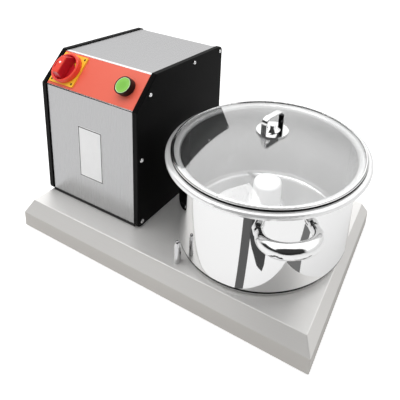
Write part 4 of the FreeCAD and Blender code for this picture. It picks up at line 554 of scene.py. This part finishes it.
def painted_edge_highlight(tree):
    """The share of painted highlight on the cover: all of it along the slope's two edges, and nothing
    farther off.
    """
    place = add_node(tree, "ShaderNodeTexCoord").outputs["Object"]
    level = add_node(tree, "ShaderNodeVectorMath", {0: place, 1: (0, 1, 1)}, operation="MULTIPLY")
    reaches = []
    for line in highlight_lines:
        reach = add_node(tree, "ShaderNodeVectorMath", {
            0: level.outputs[0], 1: line}, operation="DISTANCE")
        reaches.append(reach.outputs["Value"])
    nearest = add_node(tree, "ShaderNodeMath", {0: reaches[0], 1: reaches[1]}, operation="MINIMUM")
    share = add_node(tree, "ShaderNodeMapRange", {
        "Value": nearest.outputs[0], "From Min": highlight_from, "From Max": highlight_to, "To Min": 0.0,
        "To Max": 1.0}, interpolation_type="SMOOTHSTEP")
    return share.outputs[0]


# Satin stainless sheet, with a painted highlight along the slope's two edges.
folded_steel = ground_steel("satin_stainless_cover", "#BCBCBD", "#BFBFC0", 0.27, (700, 5, 12), 0.01,
                            painted_light_share=painted_edge_highlight, painted_light_colour="#FAFAFA")
dress(folded_steel, "cover_sheet")


# Side panels
# Thick plates of black plastic close both sides and stand proud of the sheets, their outer
# edges bevelled by a router.
# Black polyethylene plate, matt, with a faint orange-peel skin.
panel_plastic = moulded("black_polyethylene_panel", "#050506", "#090909", 0.5, 350, 0.12,
                        Specular_IOR_Level=0.08)
dress(panel_plastic, "left_side_panel", "right_side_panel")


# Panel screws
# Five round-headed stainless screws hold each side panel. Their heads are shaped here, with a
# six-sided socket, in place of the plain packed ones.
head_radius, head_height, socket_half = 0.0038, 0.0022, 0.0014
places, ways, plain_screws = [], [], []
for side, way in (("left", -1), ("right", 1)):
    panel_low, panel_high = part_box(side + "_side_panel")
    face = panel_high[0] if way > 0 else panel_low[0]
    for number in range(1, 6):
        name = "%s_panel_screw_%d" % (side, number)
        low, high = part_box(name)
        places.append((face, (low[1] + high[1]) / 2, (low[2] + high[2]) / 2))
        ways.append((way, 0, 0))
        plain_screws.append(name)
heads = fit_screws("panel_screw_heads", places, ways, head_radius, head_height, socket_half, screw_steel,
                   "base")
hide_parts(*plain_screws)


# Control overlay
# A thin orange-red film covers the slope under the switches and is left bare.
# Polycarbonate film printed from behind: even colour under a fine velvet skin.
overlay_red = moulded("orange_red_polycarbonate", "#E9634E", "#EF705A", 0.34, 900, 0.08, Coat_Weight=0.15,
                      Coat_Roughness=0.2)
dress(overlay_red, "control_overlay")


# Isolator
# A yellow square plate with four small screws carries a red knob: a ring round a high grip, with
# a white dot and a padlock slot. The square shaft and the switch body are behind.
slope_foot, slope_angle = (-0.18015, -0.1214, 0.2797), math.radians(49.21)
isolator_x, isolator_up, knob_foot = -0.0685, 0.0349, 0.0041
ring_from, grip_edge, grip_top = 0.0236, 0.0245, 0.0276
plate_screw_circle, plate_screw_foot = 0.034, 0.0023
plate_screw_radius, plate_screw_height, plate_screw_socket = 0.002, 0.0014, 0.0008
dot_up, dot_radius, dot_flat = 0.0038, 0.0021, 0.8
dot_foot, dot_shoulder, dot_height = -0.0006, 0.0001, 0.0003
slide_near, slide_far, slide_low, slide_high, slide_steps = 0.0144, 0.0181, 28, 56, 12
slide_thickness, slide_edge = 0.0012, 0.0002

slope = Matrix.Translation(slope_foot) @ Matrix.Rotation(slope_angle, 4, "X")
isolator = slope @ Matrix.Translation((isolator_x, isolator_up, 0))
outward = isolator.to_3x3() @ Vector((0, 0, 1))


def turned_shape(profile, steps=48, closed=False):
    """A shape turned on the lathe from a profile of radius and height. The profile starts and ends
    on the axis, or it is closed and makes a ring."""
    shape = bmesh.new()
    turns = [2 * math.pi * step / steps for step in range(steps)]
    rings = []
    for radius, height in profile:
        spots = turns if radius else [0]
        rings.append([shape.verts.new((radius * math.cos(turn), radius * math.sin(turn), height))
                      for turn in spots])
    for below, above in zip(rings, rings[1:] + rings[:1] if closed else rings[1:]):
        for step in range(steps):
            follow = (step + 1) % steps
            corners = [below[step % len(below)], below[follow % len(below)],
                       above[follow % len(above)], above[step % len(above)]]
            shape.faces.new(list(dict.fromkeys(corners)))
    return shape


# Yellow ABS, half glossy.
plate_yellow = moulded("yellow_moulded_plate", "#F9BE2C", "#FFD23C", 0.38, 700, 0.1)
dress(plate_yellow, "isolator_plate")
# Black oxide screws, sunk in the plate's corners.
black_screws = moulded("black_oxide_screws", "#141416", "#232326", 0.35, 900)
plate_screws = []
for turn in (45, 135, 225, 315):
    angle = math.radians(turn)
    across, up = plate_screw_circle * math.cos(angle), plate_screw_circle * math.sin(angle)
    plate_screws.append(isolator @ Vector((across, up, plate_screw_foot)))
fit_screws("plate_screws", plate_screws, [outward] * len(plate_screws), plate_screw_radius,
           plate_screw_height, plate_screw_socket, black_screws, "base")

# Red ABS, glossy, painted lighter where the ring and the grip stand out, a painted highlight, and darker
# deep in the cup between them, a painted shade.
knob_red, tree, surface = new_material("red_moulded_knob")
place = add_node(tree, "ShaderNodeTexCoord").outputs["Object"]
middle = isolator @ Vector((0, 0, 0))
local = add_node(tree, "ShaderNodeVectorMath", {0: place, 1: middle}, operation="SUBTRACT").outputs[0]
height = add_node(tree, "ShaderNodeVectorMath", {0: local, 1: outward}, operation="DOT_PRODUCT")
reach = add_node(tree, "ShaderNodeVectorMath", {0: local}, operation="LENGTH")
squares = []
for item in (reach, height):
    square = add_node(tree, "ShaderNodeMath", {0: item.outputs["Value"], 1: 2.0}, operation="POWER")
    squares.append(square.outputs[0])
flat = add_node(tree, "ShaderNodeMath", {0: squares[0], 1: squares[1]}, operation="SUBTRACT")
radius = add_node(tree, "ShaderNodeMath", {0: flat.outputs[0]}, operation="SQRT")
on_ring = add_node(tree, "ShaderNodeMath", {0: radius.outputs[0], 1: ring_from}, operation="GREATER_THAN")
risen = add_node(tree, "ShaderNodeMapRange", {
    "Value": height.outputs["Value"], "From Min": grip_edge, "From Max": grip_top, "To Min": 0.0,
    "To Max": 1.0})
bright = add_node(tree, "ShaderNodeMath", {
    0: on_ring.outputs[0], 1: risen.outputs[0]}, operation="MAXIMUM")
red = add_node(tree, "ShaderNodeMix", {
    0: bright.outputs[0], 6: linear("#C8202C"), 7: linear("#F04A38")}, data_type="RGBA")
plastic_skin(tree, surface, red.outputs[2], grain(tree, (30, 30, 30)), (0.26, 0.34), 0.05)
dress(knob_red, "isolator_knob")

# White paint in a small round recess of the grip.
dot_white = moulded("white_dot_paint", "#F2F2F0", "#FFFFFF", 0.35, 900)
dot = turned_shape([(0, dot_foot), (dot_radius, dot_foot), (dot_radius, dot_shoulder),
                    (dot_radius * dot_flat, dot_height), (0, dot_height)])
piece_of("knob_dot", dot, isolator @ Matrix.Translation((0, dot_up, grip_top)), dot_white, "isolator")

# A yellow slide lies behind the padlock slot.
turns = [math.radians(slide_low + (slide_high - slide_low) * step / slide_steps)
         for step in range(slide_steps + 1)]
outline = [(slide_near * math.cos(turn), slide_near * math.sin(turn)) for turn in reversed(turns)]
outline += [(slide_far * math.cos(turn), slide_far * math.sin(turn)) for turn in turns]
slide = cut_sheet(outline, slide_thickness, slide_edge)
piece_of("padlock_slide", slide, isolator @ Matrix.Translation((0, 0, knob_foot)), plate_yellow,
         "isolator")

# Black ABS makes the switch body and the button's collar, half matt.
control_black = moulded("black_moulded_controls", "#090909", "#101011", 0.4, 900, 0.15,
                        Specular_IOR_Level=0.25)
dress(control_black, "isolator_switch")
dress(drive_steel, "isolator_shaft")


# Start button
# A green plastic cap sits in a black collar and works a contact block behind the slope. A pale
# ring runs round the cap's edge.
button_x, button_up, cap_radius, cap_top, cap_middle = 0.0691, 0.0345, 0.0141, 0.0145, 0.004
ring_inner, ring_outer, ring_foot, ring_rise = 0.0128, 0.0139, -0.0012, 0.00035
ring_shoulder, ring_outer_bevel, ring_inner_bevel, ring_turns = -0.0002, 0.0004, 0.0003, 64
button = slope @ Matrix.Translation((button_x, button_up, 0))

# Green plastic, painted lighter towards its rim: a painted glow for light that comes in there.
button_green, tree, surface = new_material("green_moulded_cap")
place = add_node(tree, "ShaderNodeTexCoord").outputs["Object"]
middle = button @ Vector((0, 0, cap_top))
reach = add_node(tree, "ShaderNodeVectorMath", {0: place, 1: middle}, operation="DISTANCE")
share = add_node(tree, "ShaderNodeMapRange", {
    "Value": reach.outputs["Value"], "From Min": cap_middle, "From Max": cap_radius, "To Min": 0.0,
    "To Max": 1.0})
green = add_node(tree, "ShaderNodeMix", {
    0: share.outputs[0], 6: linear("#7CC048"), 7: linear("#8FD05C")}, data_type="RGBA")
plastic_skin(tree, surface, green.outputs[2], grain(tree, (700, 700, 700)), (0.28, 0.36), 0.08)
dress(button_green, "start_button")
dress(control_black, "button_collar")

# The cap's pale moulded rim.
rim_green = moulded("pale_green_rim", "#CFEDB4", "#E2F7CE", 0.3, 700, 0.05)
ring = turned_shape([
    (ring_inner, ring_foot), (ring_outer, ring_foot), (ring_outer, ring_shoulder),
    (ring_outer - ring_outer_bevel, ring_rise), (ring_inner + ring_inner_bevel, ring_rise),
    (ring_inner, 0.0)], ring_turns, closed=True)
piece_of("cap_rim", ring, button @ Matrix.Translation((0, 0, cap_top)), rim_green, "button")


# Cable gland
# A black nylon gland screwed into the back, where the mains lead enters. It has the same half
# matt skin as the controls.
dress(control_black, "cable_gland")


# Belt drive under the tray
# Two aluminium pulleys and a belt turn the pot's drive shaft, which runs in two bearings in a
# turned housing and comes up through the pot's middle.
# Black rubber belt with fabric on its back.
belt_rubber = moulded("black_belt_rubber", "#131314", "#202022", 0.7, 1200, 0.4)
# Black nitrile rubber of the seals, smooth and half matt.
seal_rubber = moulded("black_nitrile_seal", "#060607", "#0B0B0C", 0.5, 900, 0.1, Specular_IOR_Level=0.08)
dress(aluminium, "motor_pulley", "drive_pulley", "bearing_housing")
dress(belt_rubber, "drive_belt")
dress(drive_steel, "lower_bearing", "upper_bearing", "drive_shaft", "drive_insert")
dress(seal_rubber, "shaft_seal", "lid_seal")


# Pot and handles
# A deep drawn stainless pot, mirror polished outside and brushed inside, with a rolled flange.
# Two bent tube handles with collars are welded to its wall.
pot_x, pot_inner, flange_from, floor_under, foot_under = 0.1194, 0.1546, 0.2145, 0.066, 0.0655
inside_rough, wall_rough, flange_rough = (0.19, 0.21), (0.02, 0.05), 0.24
inside_metallic, wall_metallic, flange_metallic = 0.65, 1.0, 0.55

# Mirror-polished stainless: nearly clean reflections outside, softer inside and on the flange.
# Its fine rings are drawn 1.1 mm apart, to show at all.
pot_steel, tree, surface = new_material("mirror_stainless_pot")
place = add_node(tree, "ShaderNodeTexCoord").outputs["Object"]
local = add_node(tree, "ShaderNodeVectorMath", {0: place, 1: (pot_x, 0, 0)}, operation="SUBTRACT")
parts = add_node(tree, "ShaderNodeSeparateXYZ", {0: local.outputs[0]}).outputs
across = add_node(tree, "ShaderNodeCombineXYZ", {0: parts["X"], 1: parts["Y"]})
radius = add_node(tree, "ShaderNodeVectorMath", {
    0: across.outputs[0]}, operation="LENGTH").outputs["Value"]
rings = add_node(tree, "ShaderNodeCombineXYZ", {0: radius, 2: parts["Z"]})
fine = add_node(tree, "ShaderNodeMapping", {"Vector": rings.outputs[0], "Scale": (900, 1, 900)})
lines = add_node(tree, "ShaderNodeTexNoise", {"Vector": fine.outputs[0], "Scale": 1.0, "Detail": 3.0})
outside = add_node(tree, "ShaderNodeMath", {0: radius, 1: pot_inner}, operation="GREATER_THAN").outputs[0]
top = add_node(tree, "ShaderNodeMath", {
    0: parts["Z"], 1: flange_from}, operation="GREATER_THAN").outputs[0]
shades = []
# Inside, the floor is painted lighter than the wall, lit and shaded copies of one brushed steel. Outside,
# a black band at the foot is a painted shadow where the pot stands on the tray.
for limit, above, below in ((floor_under, "#A0A0A0", "#DCDCDC"), (foot_under, "#EEEEEE", "#0A0A0A")):
    low = add_node(tree, "ShaderNodeMath", {0: parts["Z"], 1: limit}, operation="LESS_THAN")
    shade = add_node(tree, "ShaderNodeMix", {
        0: low.outputs[0], 6: linear(above), 7: linear(below)}, data_type="RGBA")
    shades.append(shade.outputs[2])
wall = add_node(tree, "ShaderNodeMix", {0: outside, 6: shades[0], 7: shades[1]}, data_type="RGBA")
colour = add_node(tree, "ShaderNodeMix", {
    0: top, 6: wall.outputs[2], 7: linear("#F6F6F6")}, data_type="RGBA")
spans = []
for least, most in (inside_rough, wall_rough):
    span = add_node(tree, "ShaderNodeMapRange", {
        "Value": lines.outputs["Fac"], "To Min": least, "To Max": most})
    spans.append(span.outputs[0])
smooth = add_node(tree, "ShaderNodeMix", {0: outside, 2: spans[0], 3: spans[1]}, data_type="FLOAT")
rough = add_node(tree, "ShaderNodeMix", {0: top, 2: smooth.outputs[0], 3: flange_rough}, data_type="FLOAT")
bare = add_node(tree, "ShaderNodeMapRange", {
    "Value": outside, "To Min": inside_metallic, "To Max": wall_metallic})
metallic = add_node(tree, "ShaderNodeMix", {
    0: top, 2: bare.outputs[0], 3: flange_metallic}, data_type="FLOAT")
mirror = add_node(tree, "ShaderNodeBsdfPrincipled", {
    "Base Color": colour.outputs[2], "Metallic": metallic.outputs[0], "Roughness": rough.outputs[0]})
tree.links.new(mirror.outputs[0], surface)
dress(pot_steel, "pot")

# Bent stainless tube, buffed to a mirror.
handle_steel = ground_steel("buffed_stainless_handles", "#E4E4E4", "#F4F4F4", 0.07, (250, 250, 250), 0.02)
dress(handle_steel, "front_handle", "rear_handle")


# Hub and blades
# A white plastic sleeve slides over the tube in the pot's middle and carries two steel blades,
# ground on their faces and edges.
# White food-safe polyethylene, waxy, with a faint glow: painted light that keeps it bright inside the pot.
hub_plastic = moulded("white_polyethylene_hub", "#F0F0F0", "#FAFAFA", 0.42, 500, 0.08,
                      Emission_Color=linear("#FFFFFF"), Emission_Strength=0.22)
# Ground blade steel with lines across the blade.
blade_steel = ground_steel("ground_blade_steel", "#B4B4B6", "#DADADC", 0.24, (700, 30, 700), 0.1)
dress(hub_plastic, "blade_hub")
dress(blade_steel, "lower_blade", "upper_blade")


# Lid
# A domed toughened glass disc lies on a black seal inside a thin steel rim. A bolt through its
# middle holds a steel saucer and a bent strap handle.
lip_radius, lip_height, lip_thickness, lip_sides, lip_turns = 0.1697, 0.2244, 0.0006, 8, 128
strap_middle, strap_edge = (0.1194, 0, 0.266), (0.3, 0.6)

# Clear toughened glass: no colour of its own at this thickness, and light passes through it. Its
# dome mirrors the room strongly at a flat angle, which its coat gives.
lid_glass, tree, surface = new_material("clear_toughened_glass")
rays = add_node(tree, "ShaderNodeLightPath").outputs
soft = add_node(tree, "ShaderNodeMath", {
    0: rays["Is Shadow Ray"], 1: rays["Is Diffuse Ray"]}, operation="MAXIMUM")
smear = add_node(tree, "ShaderNodeMapRange", {
    "Value": grain(tree, (25, 25, 25)), "To Min": 0.0, "To Max": 0.015})
glass = add_node(tree, "ShaderNodeBsdfPrincipled", {
    "Base Color": linear("#FFFFFF"), "Roughness": smear.outputs[0], "IOR": 1.52,
    "Transmission Weight": 1.0, "Coat Weight": 1.0, "Coat IOR": 2.12, "Coat Roughness": 0.0})
open_glass = add_node(tree, "ShaderNodeBsdfTransparent", {"Color": linear("#FCFDFD")})
mixed = add_node(tree, "ShaderNodeMixShader", {
    0: soft.outputs[0], 1: glass.outputs[0], 2: open_glass.outputs[0]})
tree.links.new(mixed.outputs[0], surface)
dress(lid_glass, "lid_glass")

# Pressed stainless strip and strap, buffed to a mirror.
rim_steel = ground_steel("buffed_stainless_rim", "#E8E8E8", "#F6F6F6", 0.1, (250, 250, 250), 0.02)
dress(rim_steel, "lid_rim", "lid_saucer", "lid_bolt")

# The rim's lip is folded down over the seal and shows as a bright line on it.
section = []
for number in range(lip_sides):
    angle = 2 * math.pi * number / lip_sides
    section.append((lip_radius + lip_thickness * math.cos(angle), lip_thickness * math.sin(angle)))
lip = turned_shape(section, lip_turns, closed=True)
piece_of("rim_lip", lip, Matrix.Translation((pot_x, 0, lip_height)), rim_steel, "lid")

# The strap is buffed outside, and its inner side, the side that faces the strap's middle, is darker.
strap_steel, tree, surface = new_material("buffed_stainless_strap")
facing = add_node(tree, "ShaderNodeNewGeometry").outputs["Normal"]
place = add_node(tree, "ShaderNodeTexCoord").outputs["Object"]
inward = add_node(tree, "ShaderNodeVectorMath", {0: strap_middle, 1: place}, operation="SUBTRACT")
inward = add_node(tree, "ShaderNodeVectorMath", {0: inward.outputs[0]}, operation="NORMALIZE")
turned_in = add_node(tree, "ShaderNodeVectorMath", {
    0: inward.outputs[0], 1: facing}, operation="DOT_PRODUCT")
skin = add_node(tree, "ShaderNodeMapRange", {
    "Value": turned_in.outputs["Value"], "From Min": strap_edge[0], "From Max": strap_edge[1],
    "To Min": 0.0, "To Max": 1.0}, interpolation_type="SMOOTHSTEP")
colour = add_node(tree, "ShaderNodeMix", {
    0: skin.outputs[0], 6: linear("#F0F0F0"), 7: linear("#3A3A3B")}, data_type="RGBA")
metal = add_node(tree, "ShaderNodeBsdfPrincipled", {
    "Base Color": colour.outputs[2], "Metallic": 1.0, "Roughness": 0.1})
tree.links.new(metal.outputs[0], surface)
dress(strap_steel, "lid_handle")
